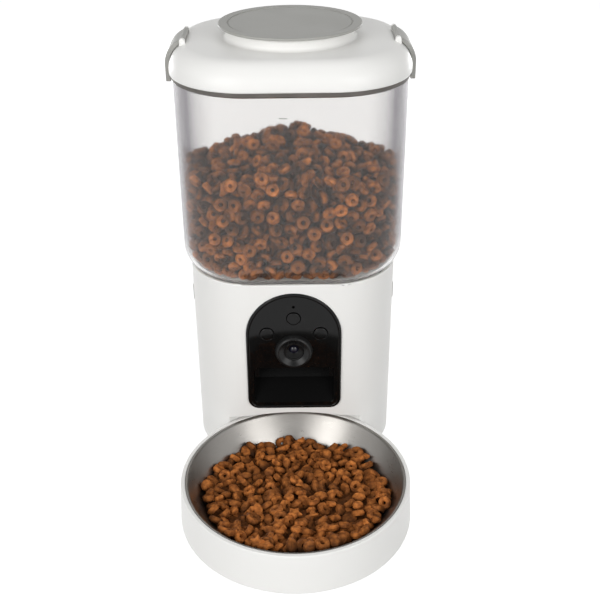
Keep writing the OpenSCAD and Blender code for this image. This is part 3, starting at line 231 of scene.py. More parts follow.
class Surface(Tree):
    """A material in the making, with its surface shader and the coordinates that its patterns read."""

    def __init__(self, label: str) -> None:
        """Starts the material.

        Args:
            label: Its name.
        """
        self.material = bpy.data.materials.new(label)
        self.material.use_nodes = True
        super().__init__(self.material.node_tree)
        self.tree.nodes.clear()
        self.shader = self.add("ShaderNodeBsdfPrincipled")
        self.where = self.add("ShaderNodeTexCoord").outputs["Object"]
        self.add("ShaderNodeOutputMaterial", {"Surface": self.shader.outputs[0]})

    def effect(self, group: bpy.types.NodeTree, scale: float) -> bpy.types.bpy_prop_collection:
        """Returns the outputs of a shared node group, placed with its pattern at a scale."""
        return self.add("ShaderNodeGroup", {"Vector": self.where, "Scale": scale}, node_tree=group).outputs

    def grain(self, scale: float) -> bpy.types.bpy_prop_collection:
        """Returns the outputs of the mould grain at a scale."""
        return self.effect(EFFECTS.grain, scale)

    def marks(self, scale: float) -> bpy.types.bpy_prop_collection:
        """Returns the outputs of the handling marks at a scale."""
        return self.effect(EFFECTS.handling, scale)

    def bump(self, height: Socket, depth: float, strength: float = 0.5) -> Socket:
        """Returns the normal that a height makes; the depth is in millimetres."""
        return self.add("ShaderNodeBump", {"Height": height, "Distance": depth * MM, "Strength": strength}).outputs[0]

    def feed(self, **values: object) -> None:
        """Sets inputs of the surface shader, whose names have underscores for spaces here."""
        self.fill(self.shader, {key.replace("_", " "): value for key, value in values.items()})


# Finishes


@dataclass(frozen=True)
class Finish:
    """A material: its name, and the record's slot that it stands for."""

    name: str
    slot: str

    def material(self) -> bpy.types.Material:
        """Makes the material on first use, under a name that none of the frame's own materials has.

        Returns:
            The material.
        """
        label = self.name + "_finish"
        found = bpy.data.materials.get(label)
        if found:
            return found
        surface = Surface(label)
        self.dress(surface)
        return surface.material

    def dress(self, surface: Surface) -> None:
        """Fills in the surface shader of a material in the making; each finish has its own."""
        raise NotImplementedError


@dataclass(frozen=True)
class MouldedPlastic(Finish):
    """Opaque moulded plastic with grain, mottling, smudges and scuffs."""

    colour: Colour = (0.8, 0.8, 0.8)
    shade: float = 0.94
    roughness: float = 0.4
    grain_scale: float = 900.0
    grain_depth: float = 0.06
    smudge: float = 0.06
    ior: float = 1.49
    scuff: float = 0.08
    marks_scale: float = 22.0

    def dress(self, surface: Surface) -> None:
        """Fills in the surface shader.

        Args:
            surface: Material in the making.
        """
        grain, marks = surface.grain(self.grain_scale), surface.marks(self.marks_scale)
        rough = surface.total(self.roughness - self.smudge / 2, (marks["Smudge"], self.smudge),
                              (marks["Scuff"], self.scuff))
        surface.feed(Base_Color=surface.blend(grain["Mottle"], rgba(self.colour, self.shade), rgba(self.colour)),
                     Roughness=rough, IOR=self.ior, Normal=surface.bump(grain["Height"], self.grain_depth))


@dataclass(frozen=True)
class ClearPlastic(Finish):
    """Clear plastic with a slight haze, with painted shade where it slants away above the rounded bottom."""

    colour: Colour = (0.9, 0.9, 0.9)
    # edge is the colour of the painted shade where the wall is seen edge on.
    edge: Colour = (0.11, 0.098, 0.125)
    shade: float = 0.97
    roughness: float = 0.08
    smudge: float = 0.03
    scuff: float = 0.05
    ior: float = 1.3
    clearness: float = 0.985
    shadow_pass: float = 0.92
    # Heights and slants over which the painted edge shade comes in.
    edge_shade_from_z: float = 182.0
    edge_shade_full_z: float = 205.0
    edge_shade_from_slant: float = 0.22
    edge_shade_full_slant: float = 0.88
    grain_scale: float = 420.0
    grain_depth: float = 0.02
    grain_strength: float = 0.3
    marks_scale: float = 18.0

    def dress(self, surface: Surface) -> None:
        """Fills in the surface shader.

        Args:
            surface: Material in the making.
        """
        grain, marks = surface.grain(self.grain_scale), surface.marks(self.marks_scale)
        rough = surface.total(self.roughness, (marks["Smudge"], self.smudge), (marks["Scuff"], self.scuff))
        facing = surface.add("ShaderNodeLayerWeight", {"Blend": 0.5}).outputs["Facing"]
        slant = surface.rise(facing, self.edge_shade_from_slant, self.edge_shade_full_slant)
        height = surface.add("ShaderNodeSeparateXYZ", {0: surface.where}).outputs[2]
        above = surface.rise(height, self.edge_shade_from_z * MM, self.edge_shade_full_z * MM)
        body = surface.blend(grain["Mottle"], rgba(self.colour, self.shade), rgba(self.colour))
        shadow = surface.add("ShaderNodeLightPath").outputs["Is Shadow Ray"]
        alpha = surface.math("SUBTRACT", 1.0, surface.math("MULTIPLY", shadow, self.shadow_pass))
        # Painted shade: the base colour turns to the edge colour where the wall slants away above the bottom.
        surface.feed(Base_Color=surface.blend(surface.math("MULTIPLY", slant, above), body, rgba(self.edge)),
                     Roughness=rough, IOR=self.ior, Transmission_Weight=self.clearness, Alpha=alpha,
                     Normal=surface.bump(grain["Height"], self.grain_depth, self.grain_strength))


class Brushing(Enum):
    """Direction of the lines on brushed metal."""

    ROUND = "round"
    STRAIGHT = "straight"


@dataclass(frozen=True)
class BrushedMetal(Finish):
    """Metal with fine brush lines, round an upright axis or along X."""

    colour: Colour = (0.6, 0.6, 0.6)
    roughness: float = 0.28
    brushing: Brushing = Brushing.STRAIGHT
    axis_y: float = 0.0
    line_depth: float = 0.03
    line_strength: float = 0.35
    stretch: float = 0.0
    shade: float = 0.86
    smoother: float = 0.05
    rougher: float = 0.06
    smudge: float = 0.05
    marks_scale: float = 26.0
    streak_scale: float = 1600.0
    streak_share: float = 0.6
    band_scale: float = 160.0
    band_share: float = 0.4
    round_squeeze: float = 0.012
    straight_squeeze: float = 0.06

    def dress(self, surface: Surface) -> None:
        """Fills in the surface shader.

        Args:
            surface: Material in the making.
        """
        lines, marks = self.lines(surface), surface.marks(self.marks_scale)
        streak = surface.noise(lines, self.streak_scale, 3.0)
        band = surface.noise(lines, self.band_scale, 2.0)
        worn = surface.total(0.0, (streak, self.streak_share), (band, self.band_share))
        rough = surface.vary(worn, self.roughness - self.smoother, self.roughness + self.rougher)
        surface.feed(Base_Color=surface.blend(streak, rgba(self.colour, self.shade), rgba(self.colour)),
                     Metallic=1.0, Roughness=surface.total(rough, (marks["Smudge"], self.smudge)),
                     Anisotropic=self.stretch, Normal=surface.bump(streak, self.line_depth, self.line_strength))

    def lines(self, surface: Surface) -> Socket:
        """Adds the coordinates that the brush lines read, squeezed along the lines.

        Args:
            surface: Material in the making.

        Returns:
            The coordinates.
        """
        centre = (0, -self.axis_y * MM, 0)
        moved = surface.add("ShaderNodeMapping", {"Vector": surface.where, "Location": centre}).outputs[0]
        if self.brushing is Brushing.STRAIGHT:
            squeeze = (self.straight_squeeze, 1.0, 1.0)
            return surface.add("ShaderNodeMapping", {"Vector": moved, "Scale": squeeze}).outputs[0]
        x, y, z = surface.add("ShaderNodeSeparateXYZ", {0: moved}).outputs
        squares = surface.math("ADD", surface.math("MULTIPLY", x, x), surface.math("MULTIPLY", y, y))
        along = surface.math("MULTIPLY", surface.math("ARCTAN2", y, x), self.round_squeeze)
        radius = surface.math("SQRT", squares)
        return surface.add("ShaderNodeCombineXYZ", {0: radius, 1: along, 2: z}).outputs[0]


@dataclass(frozen=True)
class SoftRubber(Finish):
    """Matt rubber with a pebbled skin and a dusting of grey."""

    colour: Colour = (0.1, 0.1, 0.1)
    roughness: float = 0.6
    smudge: float = 0.12
    dust_gain: float = 1.25
    dust_lift: float = 0.01
    ior: float = 1.52
    grain_scale: float = 700.0
    grain_depth: float = 0.1
    marks_scale: float = 60.0

    def dress(self, surface: Surface) -> None:
        """Fills in the surface shader.

        Args:
            surface: Material in the making.
        """
        grain, marks = surface.grain(self.grain_scale), surface.marks(self.marks_scale)
        dusty = rgba(self.colour, self.dust_gain, self.dust_lift)
        surface.feed(Base_Color=surface.blend(marks["Smudge"], rgba(self.colour), dusty),
                     Roughness=surface.total(self.roughness, (marks["Smudge"], self.smudge)), IOR=self.ior,
                     Normal=surface.bump(grain["Height"], self.grain_depth))


@dataclass(frozen=True)
class CircuitBoard(Finish):
    """Green board with copper tracks under its lacquer."""

    colour: Colour = (0.01, 0.09, 0.03)
    track_gain: float = 1.9
    track_lift: float = 0.01
    track_scale: float = 260.0
    track_width: float = 0.05
    track_depth: float = 0.04
    grain_scale: float = 500.0
    roughness: Point2 = (0.3, 0.42)

    def dress(self, surface: Surface) -> None:
        """Fills in the surface shader.

        Args:
            surface: Material in the making.
        """
        tracks = surface.add("ShaderNodeTexBrick", {"Vector": surface.where, "Scale": self.track_scale,
                                                    "Mortar Size": self.track_width}).outputs[1]
        mottle = surface.grain(self.grain_scale)["Mottle"]
        copper = rgba(self.colour, self.track_gain, self.track_lift)
        surface.feed(Base_Color=surface.blend(tracks, rgba(self.colour), copper),
                     Roughness=surface.vary(mottle, *self.roughness),
                     Normal=surface.bump(tracks, self.track_depth))


@dataclass(frozen=True)
class LensGlass(Finish):
    """Coated lens: near-black glass with a painted bluish sheen of its coating towards its edge."""

    colour: Colour = (0.006, 0.006, 0.01)
    painted_sheen: Colour = (0.02, 0.02, 0.05)
    painted_sheen_blend: float = 0.35
    roughness: float = 0.02
    smudge: float = 0.03
    marks_scale: float = 90.0
    ior: float = 1.4
    coat: float = 0.15
    coat_roughness: float = 0.01

    def dress(self, surface: Surface) -> None:
        """Fills in the surface shader.

        Args:
            surface: Material in the making.
        """
        smudge = surface.marks(self.marks_scale)["Smudge"]
        # Painted sheen: the base colour turns bluish where the lens is seen edge on.
        edge = surface.add("ShaderNodeLayerWeight", {"Blend": self.painted_sheen_blend}).outputs["Facing"]
        surface.feed(Base_Color=surface.blend(edge, rgba(self.colour), rgba(self.painted_sheen)),
                     Roughness=surface.total(self.roughness, (smudge, self.smudge)), IOR=self.ior,
                     Coat_Weight=self.coat, Coat_Roughness=self.coat_roughness)


@dataclass(frozen=True)
class BakedKibble(Finish):
    """Baked crust: browns that differ from piece to piece, crumbs and pits, darker by an attribute that holds random
    tone and painted shade.
    """

    colour: Colour = (0.78, 0.265, 0.06)
    crust: Colour = (0.24, 0.073, 0.015)
    crust_until: float = 0.35
    colour_from: float = 0.7
    darkest: float = 0.04
    darkest_tone_and_shade: float = 1.1
    crumb_scale: float = 260.0
    crumb_share: float = 0.7
    pit_scale: float = 1100.0
    pit_share: float = 0.3
    roughness: Point2 = (0.55, 0.8)
    ior: float = 1.25
    bump_depth: float = 0.5
    bump_strength: float = 0.65

    def dress(self, surface: Surface) -> None:
        """Fills in the surface shader.

        Args:
            surface: Material in the making.
        """
        tone = surface.add("ShaderNodeAttribute", attribute_name="tone").outputs["Fac"]
        crumbs = surface.noise(surface.where, self.crumb_scale, 5.0)
        pits = surface.noise(surface.where, self.pit_scale, 3.0)
        crumb = surface.rise(crumbs, self.crust_until, self.colour_from)
        baked = surface.blend(crumb, rgba(self.crust), rgba(self.colour))
        # Random tone and painted shade both darken the colour here.
        dark = surface.rise(tone, 0.0, self.darkest_tone_and_shade)
        height = surface.total(0.0, (crumbs, self.crumb_share), (pits, self.pit_share))
        surface.feed(Base_Color=surface.blend(dark, baked, rgba(self.colour, self.darkest)),
                     Roughness=surface.vary(pits, *self.roughness),
                     IOR=self.ior, Normal=surface.bump(height, self.bump_depth, self.bump_strength))


WHITE = MouldedPlastic("warm_white_plastic", "white_plastic", (0.89, 0.885, 0.862), 0.985, 0.42)
GREY = MouldedPlastic("grey_plastic", "grey_plastic", (0.385, 0.383, 0.36), 0.95, 0.45, 1100.0, 0.05, 0.06, 1.42)
PALE = MouldedPlastic("pale_plastic", "pale_plastic", (0.76, 0.76, 0.73), 0.95, 0.38)
BLACK_GLOSS = MouldedPlastic("black_gloss_plastic", "black_gloss", (0.004, 0.004, 0.004), 0.8, 0.07, 300.0, 0.004,
                             0.03, 1.3)
RECESS = MouldedPlastic("black_recess_plastic", "black_gloss", (0.003, 0.003, 0.003), 0.8, 0.35, 1000.0, 0.03,
                        0.05, 1.15)
SATIN = MouldedPlastic("black_satin_plastic", "black_plastic", (0.008, 0.008, 0.008), 0.85, 0.3, 1000.0, 0.03,
                       0.08, 1.3)
BLACK = MouldedPlastic("black_plastic", "black_plastic", (0.018, 0.018, 0.018), 0.85, 0.34, 1000.0, 0.05, 0.1)
# Both clear finishes carry painted shade at their edges; the catches' shade is paler.
CLEAR = ClearPlastic("hazy_clear_plastic", "smoked_plastic", (0.87, 0.862, 0.855))
CLEAR_CATCH = ClearPlastic("clear_catch_plastic", "smoked_plastic", (0.87, 0.862, 0.855), (0.62, 0.61, 0.63))
DISH_STEEL = BrushedMetal("spun_dish_steel", "dish_steel", (0.35, 0.335, 0.315), 0.3, Brushing.ROUND, BOWL_Y,
                          line_depth=0.003, stretch=0.35)
STEEL = BrushedMetal("zinc_plated_steel", "machine_steel", (0.6, 0.6, 0.59), 0.3)
BRASS = BrushedMetal("contact_brass", "contact_brass", (0.72, 0.56, 0.27), 0.28)
SEAL = SoftRubber("seal_rubber", "seal_rubber", (0.085, 0.075, 0.066), 0.45)
FOOT = SoftRubber("foot_rubber", "foot_rubber", (0.06, 0.06, 0.06), 0.7)
BOARD = CircuitBoard("circuit_board", "circuit_board")
LENS = LensGlass("lens_glass", "lens_glass")
KIBBLE = BakedKibble("baked_kibble", "grey_plastic")


# Meshes


def at_body() -> Matrix:
    """Returns the matrix from the body's own axis to the frame, in millimetres."""
    return Matrix.Translation((0, BODY_Y, 0))


def at_bowl() -> Matrix:
    """Returns the matrix from the bowl's own axis to the frame, in millimetres."""
    return Matrix.Translation((0, BOWL_Y, 0))


def arc(cx: float, cz: float, r: float, start: float, end: float, steps: int) -> list[Point2]:
    """Returns the points on an arc about (cx, cz), from a first to a last angle in degrees, both included."""
    turns = [math.radians(start + (end - start) * i / steps) for i in range(steps + 1)]
    return [(cx + r * math.cos(a), cz + r * math.sin(a)) for a in turns]


def corners(x: Point2, z: Point2) -> list[Point2]:
    """Returns the corners of a rectangle, from its first X and Z round to its first X and last Z."""
    return [(x[0], z[0]), (x[1], z[0]), (x[1], z[1]), (x[0], z[1])]


@dataclass(frozen=True)
class Plan:
    """Rounded rectangle seen from above."""

    w: float
    d: float
    r: float
    steps: int = 20
    side_steps: int = 10

    def ring(self, inset: float, z: float) -> list[Vector]:
        """Points round the rectangle, drawn in.

        Args:
            inset: Distance that the outline is drawn in.
            z: Height.

        Returns:
            The points, anticlockwise from +X.
        """
        cx, cy, r = self.w / 2 - self.r, self.d / 2 - self.r, self.r - inset
        bends = [arc(sx * cx, sy * cy, r, start, start + 90, self.steps)
                 for sx, sy, start in ((1, 1, 0), (-1, 1, 90), (-1, -1, 180), (1, -1, 270))]
        shares = [k / self.side_steps for k in range(1, self.side_steps)]
        points: list[Point2] = []
        for bend, after in zip(bends, bends[1:] + bends[:1]):
            (x, y), (next_x, next_y) = bend[-1], after[0]
            points += bend + [(x + (next_x - x) * f, y + (next_y - y) * f) for f in shares]
        return [Vector((x, y, z)) for x, y in points]

    def circle(self, r: float, z: float) -> list[Vector]:
        """Returns a circle with a point for each of the ring's, in the same directions."""
        around = [math.atan2(p.y, p.x) for p in self.ring(0, 0)]
        return [Vector((r * math.cos(a), r * math.sin(a), z)) for a in around]


class Form:
    """A mesh in the making, in millimetres."""

    POLE_R = 1e-6

    def __init__(self, turned_out: bool = False) -> None:
        """Starts empty; turned_out says that the faces will point outwards, as a CAD node's do."""
        self.bm = bmesh.new()
        self.turned_out = turned_out

    def loft(self, rings: Sequence[Sequence[Vector]], closed: bool = False, caps: bool = False) -> "Form":
        """Joins rings of points, each with as many points or only one, into a skin.

        Args:
            rings: The rings in order.
            closed: Joins the last ring to the first.
            caps: Fills the first and last rings.

        Returns:
            This form.
        """
        rows = [[self.bm.verts.new(p) for p in ring] for ring in rings]
        count = max(map(len, rows))
        for low, high in list(zip(rows, rows[1:])) + ([(rows[-1], rows[0])] if closed else []):
            for i in range(count):
                j = (i + 1) % count
                quad = [low[i % len(low)], low[j % len(low)], high[j % len(high)], high[i % len(high)]]
                self.bm.faces.new(list(dict.fromkeys(quad)))
        if caps:
            self.bm.faces.new(rows[0][::-1])
            self.bm.faces.new(rows[-1])
        return self

    def spin(self, profile: Sequence[Point2], steps: int, closed: bool = False) -> "Form":
        """Turns a profile of radius and height round Z.

        Args:
            profile: Points; one with no radius is a pole.
            steps: Number of pieces round.
            closed: Joins the last point to the first.

        Returns:
            This form.
        """
        turns = [math.tau * k / steps for k in range(steps)]
        return self.loft([[Vector((r * math.cos(a), r * math.sin(a), z)) for a in turns] if r > self.POLE_R
                          else [Vector((0, 0, z))] for r, z in profile], closed)

    def prism(self, outline: Sequence[Point2], low: float, high: float) -> "Form":
        """Extrudes an outline of X and Z along Y, from a low to a high place."""
        return self.loft([[Vector((x, y, z)) for x, z in outline] for y in (low, high)], caps=True)

    def place(self, matrix: Matrix) -> "Form":
        """Moves every point by a matrix in millimetres."""
        bmesh.ops.transform(self.bm, matrix=matrix, verts=self.bm.verts)
        return self

    def soften(self, width: float, angle: float, segments: int, seam: float) -> None:
        """Rounds the edges that are sharper than an angle.

        Args:
            width: Width of the rounding in millimetres.
            angle: Least angle in degrees.
            segments: Number of steps in the rounding.
            seam: Height at which edges stay sharp, because another piece carries on there.
        """
        bmesh.ops.recalc_face_normals(self.bm, faces=self.bm.faces)
        least, level = math.radians(angle), 0.01
        edges = [e for e in self.bm.edges if len(e.link_faces) == 2 and e.calc_face_angle() > least
                 and any(abs(v.co.z - seam) > level for v in e.verts)]
        bmesh.ops.bevel(self.bm, geom=edges, offset=width, segments=segments, profile=0.5, affect="EDGES",
                        clamp_overlap=False)

    def piece(self, name: str, finish: Finish) -> bpy.types.Object:
        """Makes the object, in metres.

        Args:
            name: Name of the piece.
            finish: Its finish.

        Returns:
            The object, linked to the scene.
        """
        if not self.turned_out:
            bmesh.ops.recalc_face_normals(self.bm, faces=self.bm.faces)
        bmesh.ops.scale(self.bm, vec=(MM, MM, MM), verts=self.bm.verts)
        mesh = bpy.data.meshes.new(name)
        self.bm.to_mesh(mesh)
        self.bm.free()
        mesh.materials.append(finish.material())
        made = bpy.data.objects.new(name, mesh)
        bpy.context.scene.collection.objects.link(made)
        smooth(made)
        return made

    def mount(self, name: str, finish: Finish, body: str, *nodes: str) -> None:
        """Makes the object and rides it on a body, in place of the CAD nodes that it names."""
        mount(self.piece(name, finish), finish, body, *nodes)


def smooth(piece: bpy.types.Object, angle: float = 32.0) -> None:
    """Shades a piece smooth up to an angle, weighted by the faces' areas.

    Args:
        piece: Object to shade.
        angle: Sharpest angle in degrees that is still smooth.
    """
    piece.data.polygons.foreach_set("use_smooth", [True] * len(piece.data.polygons))
    piece.data.set_sharp_from_angle(angle=math.radians(angle))
    piece.modifiers.new("normals", "WEIGHTED_NORMAL").keep_sharp = True
    settle(piece)


def settle(piece: bpy.types.Object) -> None:
    """Replaces a piece's mesh by what its modifiers make of it.

    Args:
        piece: The piece, whose modifiers go.
    """
    graph = bpy.context.evaluated_depsgraph_get()
    done = bpy.data.meshes.new_from_object(piece.evaluated_get(graph), preserve_all_data_layers=True, depsgraph=graph)
    old = piece.data
    piece.modifiers.clear()
    piece.data = done
    done.name = piece.name
    bpy.data.meshes.remove(old)


def refined(node: str, edge: float, segments: int = 2, angle: float = 30.0, seam: float = -1.0) -> Form:
    """Copies a CAD node's solid with its sharp edges rounded.

    Args:
        node: Name of the CAD node.
        edge: Width of the rounding in millimetres.
        segments: Number of steps in the rounding.
        angle: Least angle in degrees of an edge that is rounded.
        seam: Height at which edges stay sharp, because another piece carries on there.

    Returns:
        The form, in millimetres.
    """
    same, flat, tiny, farthest = 0.002, math.radians(0.4), 0.01, 0.7 * edge
    form = Form(turned_out=True)
    form.bm.from_mesh(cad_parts[node].data)
    form.place(Matrix.Scale(1 / MM, 4))
    bmesh.ops.remove_doubles(form.bm, verts=form.bm.verts, dist=same)
    bmesh.ops.dissolve_limit(form.bm, angle_limit=flat, verts=form.bm.verts, edges=form.bm.edges)
    solid = BVHTree.FromBMesh(form.bm)
    form.soften(edge, angle, segments, seam)
    for vert in form.bm.verts:
        nearest, _, _, off = solid.find_nearest(vert.co)
        if off > farthest:
            vert.co = nearest
    bmesh.ops.remove_doubles(form.bm, verts=form.bm.verts, dist=tiny)
    bmesh.ops.dissolve_degenerate(form.bm, edges=form.bm.edges, dist=tiny)
    return form


def islands(bm: bmesh.types.BMesh) -> list[set[bmesh.types.BMVert]]:
    """Finds the loose parts of a mesh.

    Args:
        bm: The mesh.

    Returns:
        The points of each part.
    """
    seen, found = set(), []
    for first in bm.verts:
        if first in seen:
            continue
        island, front = {first}, [first]
        while front:
            for edge in front.pop().link_edges:
                island.update(fresh := [v for v in edge.verts if v not in island])
                front += fresh
        seen |= island
        found.append(island)
    return found


def mount(piece: bpy.types.Object, finish: Finish, body: str, *nodes: str) -> None:
    """Rides a piece on a body and hides the CAD nodes that it replaces.

    Args:
        piece: The piece.
        finish: Not used.
        body: CAD body that it moves with.
        *nodes: CAD nodes that it replaces.
    """
    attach(piece, body)
    if nodes:
        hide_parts(*nodes)
    LOG.info("%s on %s: %d faces", piece.name, body, len(piece.data.polygons))


def paint(finish: Finish, *nodes: str) -> None:
    """Gives CAD nodes that stay a finish.

    Args:
        finish: The finish.
        *nodes: Names of the nodes.
    """
    for node in nodes:
        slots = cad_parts[node].data.materials
        slots.clear()
        slots.append(finish.material())
        LOG.info("%s keeps its solid", node)


# Geometry Nodes


def modifier_tree(name: str, floats: Sequence[str], ints: Sequence[str] = ()) -> tuple[Tree, dict, Socket]:
    """Starts a Geometry Nodes tree.

    Args:
        name: Name of the tree.
        floats: Names of its inputs that are numbers.
        ints: Names of its inputs that are whole numbers.

    Returns:
        The tree, its input sockets and the socket that takes the result.
    """
    group = bpy.data.node_groups.new(name, "GeometryNodeTree")
    group.interface.new_socket(name="Geometry", in_out="INPUT", socket_type="NodeSocketGeometry")
    group.interface.new_socket(name="Geometry", in_out="OUTPUT", socket_type="NodeSocketGeometry")
    for keys, kind in ((floats, "NodeSocketFloat"), (ints, "NodeSocketInt")):
        for key in keys:
            group.interface.new_socket(name=key, in_out="INPUT", socket_type=kind)
    tree = Tree(group)
    first = tree.add("NodeGroupInput")
    last = tree.add("NodeGroupOutput")
    return tree, {s.name: s for s in first.outputs}, last.inputs["Geometry"]


def grow(piece: bpy.types.Object, tree: bpy.types.NodeTree, **values: object) -> None:
    """Runs a Geometry Nodes tree on a piece and keeps the plain mesh that it makes.

    Args:
        piece: The piece.
        tree: The tree.
        **values: Inputs by name.
    """
    modifier = piece.modifiers.new("grow", "NODES")
    modifier.node_group = tree
    names = {s.name: s.identifier for s in tree.interface.items_tree if s.item_type == "SOCKET"
             and s.in_out == "INPUT"}
    for key, value in values.items():
        modifier[names[key]] = value
    settle(piece)


def scatter_tree(shapes: Sequence[bpy.types.Object], finish: Finish) -> bpy.types.NodeTree:
    """Builds the tree that strews loose pieces under a skin, each touching it from inside, darker below it by painted
    shade.

    Args:
        shapes: Objects to pick from.
        finish: Their finish.

    Returns:
        The tree, with inputs for spacing, tilt, the pieces' reach and half thickness, spread of sizes,
        painted shade and seed.
    """
    most_dense, tone_spread = 60000.0, 0.5
    shade_from, shade_full = (0.001, 0.0), (0.009, 0.8)
    tree, given, result = modifier_tree("strewn_" + shapes[0].name,
                                        ("Spacing", "Tilt", "Reach", "Half", "Spread", "Dark"), ("Seed",))
    seed = given["Seed"]
    points = tree.add("GeometryNodeDistributePointsOnFaces", {
        "Mesh": given["Geometry"], "Distance Min": given["Spacing"], "Density Max": most_dense, "Seed": seed},
        distribute_method="POISSON")
    gather = tree.add("GeometryNodeGeometryToInstance")
    for shape in reversed(shapes):
        info = tree.add("GeometryNodeObjectInfo", {"Object": shape})
        tree.join(info.outputs["Geometry"], gather.inputs[0])

    # Each piece leans by up to the tilt and turns any way about the skin's normal.
    lean = tree.add("ShaderNodeCombineXYZ", {0: given["Tilt"], 1: given["Tilt"], 2: math.tau}).outputs[0]
    back = tree.add("ShaderNodeVectorMath", {0: lean, "Scale": -1.0}, operation="SCALE").outputs[0]
    turn = tree.add("FunctionNodeRandomValue", {0: back, 1: lean, "Seed": seed}, data_type="FLOAT_VECTOR").outputs[0]
    facing = tree.add("FunctionNodeRotateRotation", {
        "Rotation": points.outputs["Rotation"], "Rotate By": turn}, rotation_space="LOCAL")
    least = tree.math("SUBTRACT", 1.0, given["Spread"])
    most = tree.math("ADD", 1.0, given["Spread"])
    size = tree.add("FunctionNodeRandomValue", {2: least, 3: most, "Seed": seed}, data_type="FLOAT").outputs[1]
    pick = tree.add("FunctionNodeRandomValue", {4: 0, 5: len(shapes) - 1, "Seed": seed}, data_type="INT").outputs[2]

    # A leaning piece reaches further along the normal than a flat one, so it sinks deeper to touch the skin.
    axis = tree.add("FunctionNodeRotateVector", {"Vector": (0, 0, 1), "Rotation": turn}).outputs[0]
    upright = tree.math("ABSOLUTE", tree.add("ShaderNodeSeparateXYZ", {0: axis}).outputs[2])
    leaning = tree.math("SQRT", tree.math("SUBTRACT", 1.0, tree.math("MULTIPLY", upright, upright)))
    depth = tree.math("ADD", tree.math("MULTIPLY", leaning, given["Reach"]),
                      tree.math("MULTIPLY", upright, given["Half"]))
    sink = tree.math("MULTIPLY", tree.math("MULTIPLY", depth, size), -1.0)
    inward = tree.add("ShaderNodeVectorMath", {0: points.outputs["Normal"], "Scale": sink}, operation="SCALE")
    seated = tree.add("GeometryNodeSetPosition", {"Geometry": points.outputs["Points"], "Offset": inward.outputs[0]})
    strewn = tree.add("GeometryNodeInstanceOnPoints", {
        "Points": seated.outputs[0], "Instance": gather.outputs[0], "Pick Instance": True, "Instance Index": pick,
        "Rotation": facing.outputs[0], "Scale": size})

    # The tone darkens a whole piece by chance; painted shade adds the layer's darkness and, for each point, more by
    # its depth below the skin.
    varied = tree.add("FunctionNodeRandomValue", {3: tone_spread, "Seed": seed}, data_type="FLOAT").outputs[1]
    marked = tree.add("GeometryNodeStoreNamedAttribute", {
        "Geometry": strewn.outputs[0], "Name": "tone", "Value": tree.math("ADD", varied, given["Dark"])},
        domain="INSTANCE", data_type="FLOAT")
    real = tree.add("GeometryNodeRealizeInstances", {0: marked.outputs[0]})
    below = tree.add("GeometryNodeProximity", {0: given["Geometry"]}, target_element="FACES").outputs["Distance"]
    own = tree.add("GeometryNodeInputNamedAttribute", {"Name": "tone"}, data_type="FLOAT").outputs[0]
    shaded = tree.add("GeometryNodeStoreNamedAttribute", {
        "Geometry": real.outputs[0], "Name": "tone",
        "Value": tree.math("ADD", own, tree.span(below, shade_from, shade_full))}, domain="POINT", data_type="FLOAT")
    dressed = tree.add("GeometryNodeSetMaterial", {0: shaded.outputs[0], "Material": finish.material()})
    tree.join(dressed.outputs[0], result)
    return tree.tree


def copies_tree(shape: bpy.types.Object, finish: Finish) -> bpy.types.NodeTree:
    """Builds the tree that puts one copy of a shape on each point, turned to the point's own direction.

    Args:
        shape: Object to copy, pointing along Z.
        finish: Its finish.

    Returns:
        The tree, with an input for the copies' size.
    """
    tree, given, result = modifier_tree("copies_of_" + shape.name, ("Size",))
    info = tree.add("GeometryNodeObjectInfo", {"Object": shape})
    way = tree.add("GeometryNodeInputNamedAttribute", {"Name": "points_to"}, data_type="FLOAT_VECTOR")
    turn = tree.add("FunctionNodeAlignRotationToVector", {"Vector": way.outputs[0]}, axis="Z")
    copies = tree.add("GeometryNodeInstanceOnPoints", {
        "Points": given["Geometry"], "Instance": info.outputs["Geometry"], "Rotation": turn.outputs[0],
        "Scale": given["Size"]})
    real = tree.add("GeometryNodeRealizeInstances", {0: copies.outputs[0]})
    dressed = tree.add("GeometryNodeSetMaterial", {0: real.outputs[0], "Material": finish.material()})
    tree.join(dressed.outputs[0], result)
    return tree.tree


# Sub-assemblies


@dataclass
class Housing:
    """Body shell, its base, feet and the parts inside it."""

    shell_edge: float = 0.5
    shell_angle: float = 50.0
    skirt_top_z: float = 44.0
    plate_edge: float = 0.25
    foot_edge: float = 0.5
    inlet_edge: float = 0.3
    release_edge: float = 0.8

    def build(self) -> None:
        """Makes the body's pieces."""
        for node in ("body_shell", "body_skirt"):
            shell = refined(node, self.shell_edge, 2, self.shell_angle, self.skirt_top_z)
            shell.mount(node + "_skin", WHITE, "base", node)
        for node, body in (("bowl_recess", "base"), ("base_plate", "base"), ("battery_door", "battery_door")):
            refined(node, self.plate_edge).mount(node + "_skin", WHITE, body, node)
        refined("rubber_feet", self.foot_edge, 3).mount("rubber_feet_skin", FOOT, "base", "rubber_feet")
        refined("power_inlet", self.inlet_edge).mount("power_inlet_skin", BLACK, "base", "power_inlet")
        for side in ("left", "right"):
            node = "release_button_" + side
            refined(node, self.release_edge, 3).mount(node + "_skin", GREY, "release_" + side, node)
        self.dress_inside()

    @staticmethod
    def dress_inside() -> None:
        """Gives the solids inside the body their finishes."""
        paint(WHITE, "top_deck", "chassis_plate")
        paint(PALE, "gearbox_case", "gearbox_cover", "output_gear", "idler_gear")
        paint(STEEL, "motor", "idler_axle", "output_shaft", "release_springs")
        paint(BRASS, "motor_pinion", "battery_contacts")
        paint(BOARD, "camera_board", "button_board", "main_board")
        paint(BLACK, "speaker", "microphone")
        paint(SATIN, "outlet_chute")


